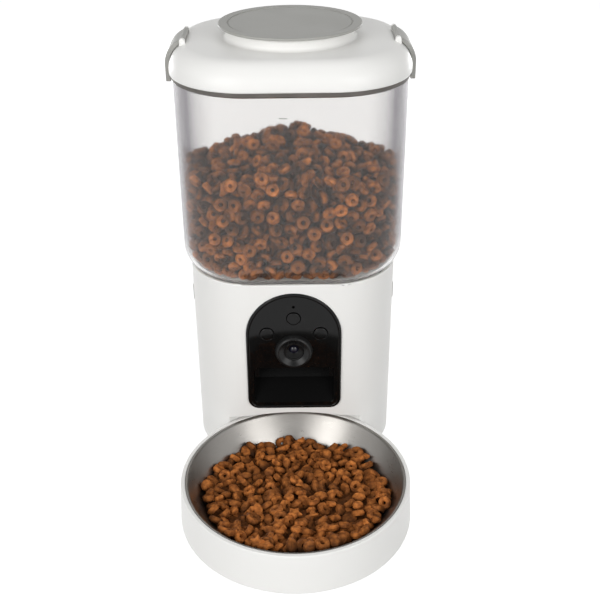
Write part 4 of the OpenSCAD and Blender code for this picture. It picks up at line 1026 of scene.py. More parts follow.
@dataclass
class FrontPanel:
    """Black panel with its rim, buttons, camera and outlet."""

    width: float = 79.6
    low_z: float = 56.0
    height: float = 113.0
    corner_r: float = 9.0
    face_y: float = BODY_Y - 78.8
    edge: float = 0.35
    edge_angle: float = 50.0
    pocket_from: float = 0.6
    rim_section: tuple[Point2, ...] = ((0.05, -0.3), (0.05, 0.15), (0.5, 0.42), (1.2, 0.5), (1.9, 0.4), (2.35, 0.1),
                                       (2.6, -0.3))
    button_r: float = 5.6
    button_proud: float = 0.9
    button_edge: float = 0.7
    button_neck: Point2 = (0.2, 0.3)
    stem_r: float = 2.0
    stem_end: float = -10.0
    flange_w: float = 1.2
    flange_low: float = -7.9
    flange_high: float = -6.9
    button_places: dict[str, Point2] = field(default_factory=lambda: {
        "button_top": (0, 146), "button_left": (-22.5, 131.5), "button_right": (22.5, 131.5)})
    camera_z: float = 114.0
    bezel_r: float = 16.0
    bezel_proud: float = 3.4
    bezel_flank: tuple[Point2, ...] = ((0, 0), (0.15, 0.6), (0.5, 1.2), (1.3, 2.7))
    bezel_crest_r: float = 1.0
    bezel_crest_inset: float = 3.0
    bezel_throat: tuple[Point2, ...] = ((1.6, 1.5), (0.4, 0.8), (0, 0.5))
    barrel_gap: float = 0.25
    barrel_r: float = 8.4
    barrel_end: float = -18.0
    barrel_lip: tuple[Point2, ...] = ((0, 0.2), (0.3, 0.5), (0.9, 0.4))
    barrel_steps: int = 4
    step_from: float = 1.3
    step_w: float = 0.8
    step_drop: float = 0.9
    step_slope: Point2 = (0.2, 0.7)
    lens_r: float = 4.2
    lens_seat: float = -5.0
    lens_lift: float = 0.02
    lens_gap: float = 0.1
    crown_r: float = 4.25
    crown_z: float = -5.6
    outlet_top_z: float = 97.6

    def outline(self, inset: float) -> list[Point2]:
        """Arched outline, drawn in.

        Args:
            inset: Distance that it is drawn in.

        Returns:
            Points of X and Z, anticlockwise.
        """
        half = self.width / 2
        corner, corner_z = half - self.corner_r, self.low_z + self.corner_r
        points = arc(0, self.low_z + self.height - half, half - inset, 0, 180, 48)
        points += arc(-corner, corner_z, self.corner_r - inset, 180, 270, 10)
        points += arc(corner, corner_z, self.corner_r - inset, 270, 360, 10)
        return points

    def facing(self, z: float, x: float = 0.0) -> Matrix:
        """Returns the matrix that turns a form made along Z to face the front, at a place."""
        return Matrix.Translation((x, self.face_y, z)) @ Matrix.Rotation(math.pi / 2, 4, "X")

    def build(self) -> None:
        """Makes the panel's pieces."""
        panel = refined("front_panel", self.edge, 3, self.edge_angle).piece("front_panel_skin", BLACK_GLOSS)
        panel.data.materials.append(RECESS.material())
        for face in panel.data.polygons:
            face.material_index = int(face.center.y > (self.face_y + self.pocket_from) * MM)
        mount(panel, BLACK_GLOSS, "base", "front_panel")
        rings = [[Vector((x, self.face_y - out, z)) for x, z in self.outline(inset)]
                 for inset, out in self.rim_section]
        Form().loft(rings, closed=True).mount("panel_rim", BLACK_GLOSS, "base")
        for node, (x, z) in self.button_places.items():
            self.button().place(self.facing(z, x)).mount(node + "_cap", BLACK_GLOSS, node, node)
        at_camera = self.facing(self.camera_z)
        bezel = self.cut_level(self.bezel().place(at_camera))
        bezel.mount("camera_bezel_ring", SATIN, "base", "camera_bezel")
        self.barrel().place(at_camera).mount("camera_barrel_rings", SATIN, "base", "camera_barrel")
        self.lens().place(at_camera).mount("camera_lens_dome", LENS, "base", "camera_lens")

    def button(self) -> Form:
        """Draws a flat button with a rounded edge, a flange that holds it and a stem.

        Returns:
            The form, along Z.
        """
        r, top, edge, wide = self.button_r, self.button_proud, self.button_edge, self.button_r + self.flange_w
        profile = [(0, self.stem_end), (self.stem_r, self.stem_end), (self.stem_r, self.flange_low),
                   (wide, self.flange_low), (wide, self.flange_high), (r - self.button_neck[0], self.flange_high),
                   (r, self.flange_high + self.button_neck[1])]
        profile += arc(r - edge, top - edge, edge, 0, 90, 5) + [(r * 0.5, top), (0, top)]
        return Form().spin(profile, 48)

    def bezel(self) -> Form:
        """Draws the camera's bezel with a rounded crest.

        Returns:
            The form, along Z.
        """
        hole, r, crest = self.barrel_r + self.barrel_gap, self.bezel_r, self.bezel_crest_r
        profile = [(hole, 0)] + [(r - inset, out) for inset, out in self.bezel_flank]
        profile += arc(r - self.bezel_crest_inset, self.bezel_proud - crest, crest, 40, 140, 6)
        profile += [(hole + wider, out) for wider, out in self.bezel_throat]
        return Form().spin(profile, 96, closed=True)

    def cut_level(self, form: Form) -> Form:
        """Cuts off what reaches below the top of the outlet.

        Args:
            form: A form at its place.

        Returns:
            The same form.
        """
        whole = list(form.bm.verts) + list(form.bm.edges) + list(form.bm.faces)
        cut = bmesh.ops.bisect_plane(form.bm, geom=whole, plane_co=(0, 0, self.outlet_top_z), plane_no=(0, 0, -1),
                                     clear_outer=True)
        bmesh.ops.holes_fill(form.bm, edges=[e for e in cut["geom_cut"] if isinstance(e, bmesh.types.BMEdge)])
        return form

    def barrel(self) -> Form:
        """Draws the camera's barrel with rings that step down to the lens.

        Returns:
            The form, along Z.
        """
        wide, lens = self.barrel_r, self.lens_r
        profile = [(0, self.barrel_end), (wide, self.barrel_end)]
        profile += [(wide - inset, out) for inset, out in self.barrel_lip]
        for step in range(self.barrel_steps):
            r, drop = wide - self.step_from - self.step_w * step, self.step_drop * step
            profile += [(r, -drop), (r - self.step_slope[0], -self.step_slope[1] - drop)]
        profile += [(lens, -self.step_drop * self.barrel_steps), (lens, self.lens_seat), (0, self.lens_seat)]
        return Form().spin(profile, 72)

    def lens(self) -> Form:
        """Draws the crowned lens.

        Returns:
            The form, along Z.
        """
        seat = self.lens_seat + self.lens_lift
        crown = [(0, seat), (self.lens_r - self.lens_gap, seat)] + arc(0, self.crown_z, self.crown_r, 12, 90, 10)
        crown[-1] = (0, crown[-1][1])
        return Form().spin(crown, 48)


@dataclass(frozen=True)
class Lumps:
    """Uneven top of loose food: a chequered wave and a slanting one."""

    chequer: float
    chequer_x: Point2
    chequer_y: Point2
    slant: float
    slant_x: Point2
    slant_y: float = 0.0

    def at(self, x: float, y: float) -> float:
        """Height of the waves at a place.

        Args:
            x: Place across.
            y: Place along.

        Returns:
            The height.
        """
        (wave_x, start_x), (wave_y, start_y), (slant_x, start) = self.chequer_x, self.chequer_y, self.slant_x
        chequer = self.chequer * math.sin(wave_x * x + start_x) * math.sin(wave_y * y + start_y)
        return chequer + self.slant * math.sin(slant_x * x + start + self.slant_y * y)


@dataclass
class Hopper:
    """Clear hopper with its floor, rotor and filling of kibble."""

    plan: Plan = Plan(185, 167, 60.5, 22)
    low_z: float = 172.2
    top_z: float = 335.6
    wall: float = 2.5
    edge_r: float = 22.0
    rim_r: float = 0.6
    mouth_r: float = 53.25
    tab_x: Point2 = (74.0, 76.5)
    tab_z: Point2 = (128.0, 172.6)
    tab_half: float = 7.0
    lug_section: tuple[Point2, ...] = ((92.3, 332.0), (94.2, 332.0), (94.6, 332.5), (94.6, 334.0), (93.4, 335.0),
                                       (92.3, 335.0))
    lug_half: float = 15.0
    mark_x: Point2 = (-9.0, -3.0)
    mark_y: Point2 = (-83.62, -83.44)
    mark_z: Point2 = (319.6, 320.4)
    fill_peak: float = 289.0
    fill_edge: float = 263.5
    fill_gap: float = 0.4
    fill_reach: float = 84.0
    fill_stretch: float = 0.9
    fill_curve: float = 1.5
    fill_back_slope: float = 0.3
    fill_levels: int = 6
    fill_shares: tuple[float, ...] = (0.85, 0.7, 0.55, 0.4, 0.25, 0.1, 0.02)
    lumps: Lumps = Lumps(3.0, (0.09, 1.3), (0.1, 0.4), 2.0, (0.2, -0.7))

    def build(self) -> None:
        """Makes the hopper's pieces."""
        self.shell().mount("hopper_skin", CLEAR, "hopper", "hopper_shell")
        self.catches().mount("hopper_catches", CLEAR_CATCH, "hopper", "hopper_tabs")
        mark = Form().prism(corners(self.mark_x, self.mark_z), *self.mark_y)
        mark.place(at_body()).mount("fill_mark", GREY, "hopper")
        paint(PALE, "hopper_floor", "cup_floor", "rotor_baffle", "rotor_bush")
        paint(GREY, "rotor")
        paint(STEEL, "rotor_shaft")

    def shell(self) -> Form:
        """Draws the tub with its rounded bottom.

        Returns:
            The form.
        """
        r, t, low, rim = self.edge_r, self.wall, self.low_z, self.rim_r
        top = arc(rim, self.top_z - rim, rim, 180, 90, 3) + arc(t - rim, self.top_z - rim, rim, 90, 0, 3)
        rings = [self.plan.ring(inset, z) for inset, z in top + arc(r, low + r, r - t, 180, 270, 14)]
        rings += [self.plan.circle(self.mouth_r, low + z) for z in (t, 0)]
        rings += [self.plan.ring(inset, z) for inset, z in arc(r, low + r, r, 270, 180, 14)]
        return Form().loft(rings, closed=True).place(at_body())

    def catches(self) -> Form:
        """Draws the release tabs below the tub and the latch lugs on its sides.

        Returns:
            The form.
        """
        form = Form()
        for side in (-1, 1):
            tab = corners((side * self.tab_x[0], side * self.tab_x[1]), self.tab_z)
            form.prism(tab, -self.tab_half, self.tab_half)
            form.prism([(side * x, z) for x, z in self.lug_section], -self.lug_half, self.lug_half)
        return form.place(at_body())

    def heap(self, depth: float) -> Form:
        """Draws the skin of the filling, open below and drawn in by a depth.

        Args:
            depth: Distance from the hopper's wall and the heap's surface.

        Returns:
            The form.
        """
        r, low = self.edge_r, self.low_z + self.edge_r
        inside = r - self.wall - self.fill_gap - depth
        rings = [self.plan.ring(inset, z) for inset, z in arc(r, low, inside, 270, 180, 6)]
        edge = self.plan.ring(r - inside, 0)
        for level in range(1, self.fill_levels + 1):
            rings.append([Vector((p.x, p.y, low + (self.height(p) - depth - low) * level / self.fill_levels))
                          for p in edge])
        for share in self.fill_shares:
            inner = [Vector((p.x * share, p.y * share, 0)) for p in edge]
            rings.append([Vector((p.x, p.y, self.height(p) - depth)) for p in inner])
        return Form().loft(rings).place(at_body())

    def height(self, p: Vector) -> float:
        """Height of the filling's surface at a place.

        Args:
            p: Place in the body's own frame.

        Returns:
            The height.
        """
        reach = math.hypot(p.x, p.y * self.fill_stretch) / self.fill_reach
        fall = (self.fill_peak - self.fill_edge) * reach ** self.fill_curve
        return self.fill_peak - fall - self.fill_back_slope * max(p.y, 0.0) + self.lumps.at(p.x, p.y)

    def push(self, p: Vector) -> Vector:
        """Way back inside the tub for a point that is past its inner wall.

        Args:
            p: Point in the frame, in millimetres.

        Returns:
            The shift, which is zero inside.
        """
        cx, cy = self.plan.w / 2 - self.plan.r, self.plan.d / 2 - self.plan.r
        x, y = p.x, p.y - BODY_Y
        out = Vector((x - max(-cx, min(x, cx)), y - max(-cy, min(y, cy)), 0))
        drop = max(0.0, self.low_z + self.edge_r - p.z)
        bend = self.edge_r - self.wall
        inset = self.edge_r - math.sqrt(max(0.0, bend ** 2 - drop ** 2))
        past = out.length - (self.plan.r - inset)
        return out.normalized() * -past if past > 0 else Vector()


@dataclass
class Lid:
    """White lid with its seal, cap, liner and latches."""

    plan: Plan = Plan(190, 172, 63, 24)
    low_z: float = 339.5
    top_z: float = 360.5
    shoulder_r: float = 18.0
    wall: float = 2.5
    edge_r: float = 1.2
    neck_r: float = 51.2
    neck_top_z: float = 369.5
    neck_fillet: float = 3.0
    neck_edge: float = 0.8
    bore_r: float = 48.5
    bore_edge: float = 0.5
    seal_low_z: float = 335.9
    seal_inset: float = 1.6
    seal_w: float = 5.5
    seal_edge: float = 0.7
    cap_r: float = 57.0
    cap_z: float = 369.8
    cap_t: float = 2.2
    cap_edge: float = 1.1
    cap_rim_w: float = 7.2
    cap_groove: tuple[Point2, ...] = ((0.6, 0.0), (0.0, -0.25), (-0.35, -1.0), (-0.9, -1.0), (-1.3, -0.55),
                                      (-8.0, -0.55))
    cap_hollow: tuple[Point2, ...] = ((20.0, -0.65), (0.0, -0.7))
    plug_r: Point2 = (45.6, 48.1)
    plug_h: float = 8.0
    hinge_x: float = 84.0
    hinge_z: float = 361.683
    barrel_r: float = 2.2
    latch_w: float = 34.0
    latch_edge: float = 0.7
    ear_w: float = 3.3
    ear_gap: float = 0.3
    ear_inner_foot: Point2 = (-0.4, 1.0)
    ear_outer_foot: Point2 = (0.3, -0.6)

    def build(self) -> None:
        """Makes the lid's pieces."""
        self.shell().mount("lid_skin", WHITE, "lid", "lid_shell", "lid_neck")
        self.seal().mount("lid_seal_band", SEAL, "lid", "lid_seal")
        self.cap().mount("lid_cap_disc", GREY, "cap", "lid_cap")
        for node in ("latch_left", "latch_right"):
            refined(node, self.latch_edge, 3).mount(node + "_arm", GREY, node, node)
        paint(PALE, "lid_liner")
        paint(STEEL, "latch_pins")

    def shell(self) -> Form:
        """Draws the lid's shell with its shoulder, neck and hinge ears.

        Returns:
            The form.
        """
        s, t, low, top, edge = self.shoulder_r, self.wall, self.low_z, self.top_z, self.edge_r
        f, n, high = self.neck_fillet, self.neck_r, self.neck_top_z
        outer = arc(edge, low + edge, edge, 270, 180, 4) + arc(s, top - s, s, 180, 90, 16)
        neck = arc(n + f, top + f, f, 270, 180, 8)
        neck += arc(n - self.neck_edge, high - self.neck_edge, self.neck_edge, 0, 90, 4)
        neck += arc(self.bore_r + self.bore_edge, high - self.bore_edge, self.bore_edge, 90, 180, 3)
        neck += [(self.bore_r, top - t)]
        inner = arc(s, top - s, s - t, 90, 180, 12) + [(t, low)]
        rings = [self.plan.ring(inset, z) for inset, z in outer]
        rings += [self.plan.circle(r, z) for r, z in neck]
        rings += [self.plan.ring(inset, z) for inset, z in inner]
        form = Form().loft(rings, closed=True)
        for side in (-1, 1):
            for across in (-1, 1):
                first = across * (self.latch_w / 2 + self.ear_gap)
                form.prism(self.ear(side), *sorted((first, first + across * self.ear_w)))
        return form.place(at_body())

    def ear(self, side: int) -> list[Point2]:
        """Outline of a hinge ear, sunk into the lid's shoulder.

        Args:
            side: 1 on the right, -1 on the left.

        Returns:
            Points of X and Z.
        """
        r, x = self.barrel_r, self.hinge_x
        foot = self.hinge_z - r - self.wall
        outline = [(x - r + self.ear_inner_foot[0], foot + self.ear_inner_foot[1]),
                   (x + r + self.ear_outer_foot[0], foot + self.ear_outer_foot[1])]
        return [(side * px, pz) for px, pz in outline + arc(x, self.hinge_z, r, 0, 180, 14)]

    def seal(self) -> Form:
        """Draws the seal band with rounded faces.

        Returns:
            The form.
        """
        r = self.seal_edge
        near, far = self.seal_inset + r, self.seal_inset + self.seal_w - r
        low, high = self.seal_low_z + r, self.low_z - r
        section = arc(near, low, r, 270, 180, 4) + arc(near, high, r, 180, 90, 4)
        section += arc(far, high, r, 90, 0, 4) + arc(far, low, r, 0, -90, 4)
        return Form().loft([self.plan.ring(inset, z) for inset, z in section], closed=True).place(at_body())

    def cap(self) -> Form:
        """Draws the cap with its raised rim, groove, hollow and plug.

        Returns:
            The form.
        """
        edge_r, low, high = self.cap_r - self.cap_edge, self.cap_z, self.cap_z + self.cap_t
        plug_in, plug_out = self.plug_r
        rim_in = self.cap_r - self.cap_rim_w
        profile = [(0, low), (plug_in, low), (plug_in, low - self.plug_h), (plug_out, low - self.plug_h),
                   (plug_out, low)]
        profile += arc(edge_r, high - self.cap_edge, self.cap_edge, -90, 90, 12)
        profile += [(rim_in + out, high + up) for out, up in self.cap_groove]
        profile += [(r, high + up) for r, up in self.cap_hollow]
        return Form().spin(profile, 128).place(at_body())


@dataclass
class Bowl:
    """Holder ring with its pads, and the steel dish in it."""

    rim_r: float = 94.1
    foot_r: float = 95.7
    height: float = 37.5
    wall: float = 2.6
    floor_z: float = 2.0
    floor_t: float = 2.2
    low_z: float = 0.6
    foot_edge: float = 1.6
    foot_step: Point2 = (4.0, 3.4)
    flank_low: float = 2.0
    flank_high: float = 1.0
    flank_shares: tuple[float, ...] = (0.12, 0.4, 0.7, 0.98)
    rim_edge: float = 0.75
    rim_inset: float = 0.2
    lip_w: float = 3.4
    lip_edge: float = 0.4
    ledge_drop: float = 1.4
    ledge_r: float = 89.6
    ledge_t: float = 2.0
    ledge_slope: float = 4.4
    floor_cove: tuple[Point2, ...] = ((0.6, 2.0), (2.0, 0.0))
    pad_edge: float = 0.4
    tongue_w: float = 40.0
    tongue_z: float = 8.0
    tongue_t: float = 3.0
    tongue_sunk: float = 1.9
    tongue_end: float = 100.7
    dish_floor_z: float = 5.2
    dish_floor_r: float = 58.0
    dish_bend: float = 14.0
    dish_slope: float = 52.0
    dish_rim_r: float = 90.4
    dish_seat_z: float = 36.4
    dish_wall: float = 0.8
    flange_bend: tuple[Point2, ...] = ((0.75, -0.75), (1.5, -0.15))
    flange_drop: float = 1.6
    food_z: float = 26.8
    food_slope: float = 0.072
    mound: float = 2.5
    mound_y: float = -5.0
    mound_r: float = 45.0
    food_gap: float = 2.0
    food_steps: int = 64
    food_shares: tuple[float, ...] = (1.0, 0.88, 0.72, 0.55, 0.38, 0.2)
    lumps: Lumps = Lumps(1.3, (0.13, 0.8), (0.12, 0.0), 0.9, (0.23, 0.0), -0.11)
    steps: int = 160

    def build(self) -> None:
        """Makes the bowl's pieces."""
        self.holder().mount("bowl_holder_ring", WHITE, "holder", "bowl_holder")
        refined("holder_pads", self.pad_edge, 3).mount("holder_pads_skin", FOOT, "holder", "holder_pads")
        self.dish().mount("steel_dish_bowl", DISH_STEEL, "dish", "steel_dish")

    def holder(self) -> Form:
        """Draws the ring with its sloped wall, rounded rim, ledge and tongue.

        Returns:
            The form.
        """
        rim, foot, h, low, bend = self.rim_r, self.foot_r, self.height, self.low_z, self.foot_edge
        rim_in, ledge_z, floor = rim - self.lip_w, h - self.ledge_drop, self.floor_z + self.floor_t
        start, rise = low + self.flank_low, h - self.flank_high - low - self.flank_low
        profile = [(0, self.floor_z), (foot - self.foot_step[0], self.floor_z), (foot - self.foot_step[1], low),
                   (foot - bend, low)]
        profile += arc(foot - bend, low + bend, bend, -80, 5, 6)
        profile += [(foot - (foot - rim) * f, start + rise * f) for f in self.flank_shares]
        profile += arc(rim - self.rim_edge - self.rim_inset, h - self.rim_edge, self.rim_edge, 10, 90, 5)
        profile += arc(rim_in + self.lip_edge, h - self.lip_edge, self.lip_edge, 90, 180, 4)
        profile += [(rim_in, ledge_z), (self.ledge_r, ledge_z), (self.ledge_r, ledge_z - self.ledge_t),
                    (rim - self.wall, ledge_z - self.ledge_slope)]
        profile += [(foot - self.wall - inset, floor + up) for inset, up in self.floor_cove] + [(0, floor)]
        form = Form().spin(profile, self.steps)
        half = self.tongue_w / 2
        root = math.sqrt((foot - self.tongue_sunk) ** 2 - half ** 2)
        form.prism(corners((-half, half), (self.tongue_z, self.tongue_z + self.tongue_t)), root, self.tongue_end)
        return form.place(at_bowl())

    def wall_line(self, up: float) -> list[Point2]:
        """Line of the dish's wall, raised by a thickness.

        Args:
            up: Distance above the underside.

        Returns:
            Points of radius and height, from the middle out.
        """
        floor, seat = self.dish_floor_z + up, self.dish_seat_z + up
        line = [(0, floor), (self.dish_floor_r * 0.5, floor)]
        line += arc(self.dish_floor_r, self.dish_floor_z + self.dish_bend, self.dish_bend - up, -90,
                    -90 + self.dish_slope, 14)
        r, z = line[-1]
        rise = seat - self.flange_drop - z
        run = rise / math.tan(math.radians(self.dish_slope))
        line += [(r + run * f, z + rise * f) for f in (0.33, 0.66, 1.0)]
        return line + [(r + run + out, seat + higher) for out, higher in self.flange_bend]

    def dish(self) -> Form:
        """Draws the spun dish with its rolled flange.

        Returns:
            The form.
        """
        low, high, half = self.wall_line(0), self.wall_line(self.dish_wall), self.dish_wall / 2
        edge = arc(self.dish_rim_r - half, self.dish_seat_z + half, half, -90, 90, 6)
        return Form().spin(low + edge + high[::-1], self.steps).place(at_bowl())

    def heap(self, depth: float) -> Form:
        """Draws the skin of the food in the dish, open below.

        Args:
            depth: Distance below the outermost layer.

        Returns:
            The form.
        """
        turns = [math.tau * k / self.food_steps for k in range(self.food_steps)]
        rings = []
        for share in self.food_shares:
            spots = [(share * self.reach(a, depth), a) for a in turns]
            places = [(r * math.cos(a), r * math.sin(a)) for r, a in spots]
            rings.append([Vector((x, y, self.food_height(x, y) - depth)) for x, y in places])
        form = Form().loft(rings)
        form.bm.faces.new(form.bm.verts[-self.food_steps:])
        return form.place(at_bowl())

    def food_height(self, x: float, y: float) -> float:
        """Returns the height of the food at a place in the bowl's own frame."""
        mound = self.mound * math.exp(-((x / self.mound_r) ** 2 + ((y - self.mound_y) / self.mound_r) ** 2))
        return self.food_z - self.food_slope * y + mound + self.lumps.at(x, y)

    def wall_r(self, z: float) -> float:
        """Radius of the dish's inner wall at a height.

        Args:
            z: The height.

        Returns:
            The radius.
        """
        slope, bend = math.radians(self.dish_slope), self.dish_bend - self.dish_wall
        low = self.dish_floor_z + self.dish_bend - bend * math.cos(slope)
        return self.dish_floor_r + bend * math.sin(slope) + (z - low) / math.tan(slope)

    def reach(self, angle: float, depth: float) -> float:
        """Radius at which a layer of the food meets the dish's wall, found in a few rounds.

        Args:
            angle: Direction from the bowl's axis.
            depth: Distance below the outermost layer.

        Returns:
            The radius, less a little.
        """
        r, rounds = 70.0, 4
        for _ in range(rounds):
            r = self.wall_r(self.food_height(r * math.cos(angle), r * math.sin(angle)) - depth) - self.food_gap
        return r

    def push(self, p: Vector) -> Vector:
        """Way back inside the dish for a point that is past its inner wall.

        Args:
            p: Point in the frame, in millimetres.

        Returns:
            The shift, which is zero inside.
        """
        out = Vector((p.x, p.y - BOWL_Y, 0))
        slope = math.radians(self.dish_slope)
        past = (out.length - self.wall_r(p.z)) * math.sin(slope)
        if past <= 0:
            return Vector()
        return (out.normalized() * math.sin(slope) - Vector((0, 0, math.cos(slope)))) * -past


class Shape(Enum):
    """Forms of kibble in the food."""

    RING = "ring"
    STAR = "star"
    FISH = "fish"
    BISCUIT = "biscuit"


@dataclass(frozen=True)
class Strewing:
    """How kibble lies in a vessel: its layers, what changes from one to the next, and the core below them."""

    body: str
    shapes: tuple[Shape, ...]
    layers: int
    layer_step: float
    spacing: float
    spread: float
    seed: int
    # The darkness values below are painted shade: a darker start for the food, more for each deeper layer, and the
    # core's.
    dark: float
    painted_shade_step: float
    core_depth: float
    tilt: float = 0.9
    tilt_step: float = 0.0
    core_painted_shade: float = 0.9


@dataclass
class Kibble:
    """Loose food that lies in the hopper and in the dish."""

    ring_r: float = 6.0
    hole_r: float = 1.1
    ring_edge: float = 1.0
    ring_steps: int = 12
    thick: float = 4.6
    slab: tuple[Point2, ...] = ((0.72, -2.3), (1.0, -0.9), (0.98, 1.0), (0.68, 2.3))
    fish_half: tuple[Point2, ...] = ((8.2, 0), (6.2, 2.4), (3.0, 3.6), (-0.6, 3.0), (-3.6, 1.3), (-6.8, 3.5),
                                     (-7.6, 2.4))
    fish_tail: Point2 = (-6.4, 0)
    star_r: Point2 = (4.0, 6.6)
    star_points: int = 5
    biscuit_r: Point2 = (6.0, 4.4)
    biscuit_skew: float = 0.1
    biscuit_steps: int = 11
    dents: tuple[Point3, ...] = ((0.025, 3.7, 0.0), (0.02, 1.9, 1.0))
    # The hopper's food starts darker than the dish's, as painted shade.
    in_hopper: Strewing = Strewing(
        "hopper", (Shape.RING,), layers=3, layer_step=5.0, spacing=9.4, spread=0.06, seed=11, dark=0.38,
        painted_shade_step=0.18, core_depth=16.0, tilt_step=0.25)
    in_dish: Strewing = Strewing(
        "dish", (Shape.RING, Shape.BISCUIT, Shape.RING, Shape.FISH, Shape.BISCUIT, Shape.RING, Shape.STAR),
        layers=2, layer_step=4.5, spacing=8.0, spread=0.12, seed=31, dark=0.0, painted_shade_step=0.3, core_depth=8.0)

    def shape(self, shape: Shape) -> bpy.types.Object:
        """Makes one piece of kibble to copy.

        Args:
            shape: Its form.

        Returns:
            The object.
        """
        form = Form()
        if shape is Shape.RING:
            middle, half = (self.ring_r + self.hole_r) / 2, (self.ring_r - self.hole_r) / 2
            flat, high = half - self.ring_edge, self.thick / 2
            form.spin([(middle - half, 0), (middle - flat, high), (middle + flat, high), (middle + half, 0),
                       (middle + flat, -high), (middle - flat, -high)], self.ring_steps, closed=True)
        else:
            outline = self.outline(shape)
            form.loft([[Vector((x * s, y * s, z)) for x, y in outline] for s, z in self.slab], caps=True)
        for i, vert in enumerate(form.bm.verts):
            vert.co *= 1 + sum(deep * math.sin(wave * i + start) for deep, wave, start in self.dents)
        return form.piece("kibble_" + shape.value, KIBBLE)

    def outline(self, shape: Shape) -> list[Point2]:
        """Outline of a flat piece of kibble.

        Args:
            shape: Its form.

        Returns:
            Points round it.
        """
        if shape is Shape.FISH:
            return [*self.fish_half, self.fish_tail] + [(x, -y) for x, y in self.fish_half[:0:-1]]
        if shape is Shape.STAR:
            turns = [(self.star_r[k % 2], math.pi * k / self.star_points) for k in range(2 * self.star_points)]
            return [(r * math.cos(a), r * math.sin(a)) for r, a in turns]
        long, wide = self.biscuit_r
        around = [math.tau * k / self.biscuit_steps for k in range(self.biscuit_steps)]
        return [(long * math.cos(a) * (1 + self.biscuit_skew * math.sin(2 * a)), wide * math.sin(a)) for a in around]

    @staticmethod
    def keep_inside(food: bpy.types.Object, vessel: Hopper | Bowl) -> None:
        """Moves the pieces that stick through a vessel's wall back inside it.

        Args:
            food: Kibble, each piece loose.
            vessel: What it lies in.
        """
        bm = bmesh.new()
        bm.from_mesh(food.data)
        for island in islands(bm):
            shift = max((vessel.push(v.co / MM) for v in island), key=lambda way: way.length_squared)
            if shift.length_squared:
                bmesh.ops.translate(bm, vec=shift * MM, verts=list(island))
        bm.to_mesh(food.data)
        bm.free()

    def build(self, hopper: Hopper, bowl: Bowl) -> None:
        """Strews kibble over the fillings.

        Args:
            hopper: Hopper with its heap.
            bowl: Bowl with its heap.
        """
        shapes = {s: self.shape(s) for s in Shape}
        fillings = ((self.in_hopper, hopper), (self.in_dish, bowl))
        for strewing, vessel in fillings:
            self.strew(strewing, vessel, scatter_tree([shapes[s] for s in strewing.shapes], KIBBLE))
        for strewing, vessel in fillings:
            self.core(strewing, vessel)
        for shape in shapes.values():
            bpy.data.objects.remove(shape)

    def strew(self, strewing: Strewing, vessel: Hopper | Bowl, tree: bpy.types.NodeTree) -> None:
        """Makes the layers of loose kibble in a vessel.

        Args:
            strewing: How the kibble lies.
            vessel: What it lies in.
            tree: Tree that strews it.
        """
        for layer in range(strewing.layers):
            heap = vessel.heap(strewing.layer_step * layer)
            food = heap.piece(f"{strewing.body}_kibble_{layer}", KIBBLE)
            grow(food, tree, Spacing=strewing.spacing * MM, Spread=strewing.spread, Seed=strewing.seed + layer,
                 Tilt=strewing.tilt + strewing.tilt_step * layer, Dark=strewing.dark + strewing.painted_shade_step * layer,
                 Reach=self.ring_r * MM, Half=self.thick / 2 * MM)
            self.keep_inside(food, vessel)
            mount(food, KIBBLE, strewing.body)

    @staticmethod
    def core(strewing: Strewing, vessel: Hopper | Bowl) -> None:
        """Makes the closed core below the loose layers, darkened with painted shade.

        Args:
            strewing: How the kibble lies.
            vessel: What it lies in.
        """
        heap = vessel.heap(strewing.core_depth)
        bmesh.ops.holes_fill(heap.bm, edges=[e for e in heap.bm.edges if e.is_boundary], sides=0)
        core = heap.piece(strewing.body + "_kibble_core", KIBBLE)
        # The core's darkness is painted shade.
        tone = core.data.attributes.new("tone", "FLOAT", "POINT")
        tone.data.foreach_set("value", [strewing.core_painted_shade] * len(core.data.vertices))
        mount(core, KIBBLE, strewing.body)


@dataclass(frozen=True)
class ScrewSet:
    """Screws of one CAD node: its body, the way that the heads point and the shanks' length."""

    node: str
    body: str
    up: int
    shank: float


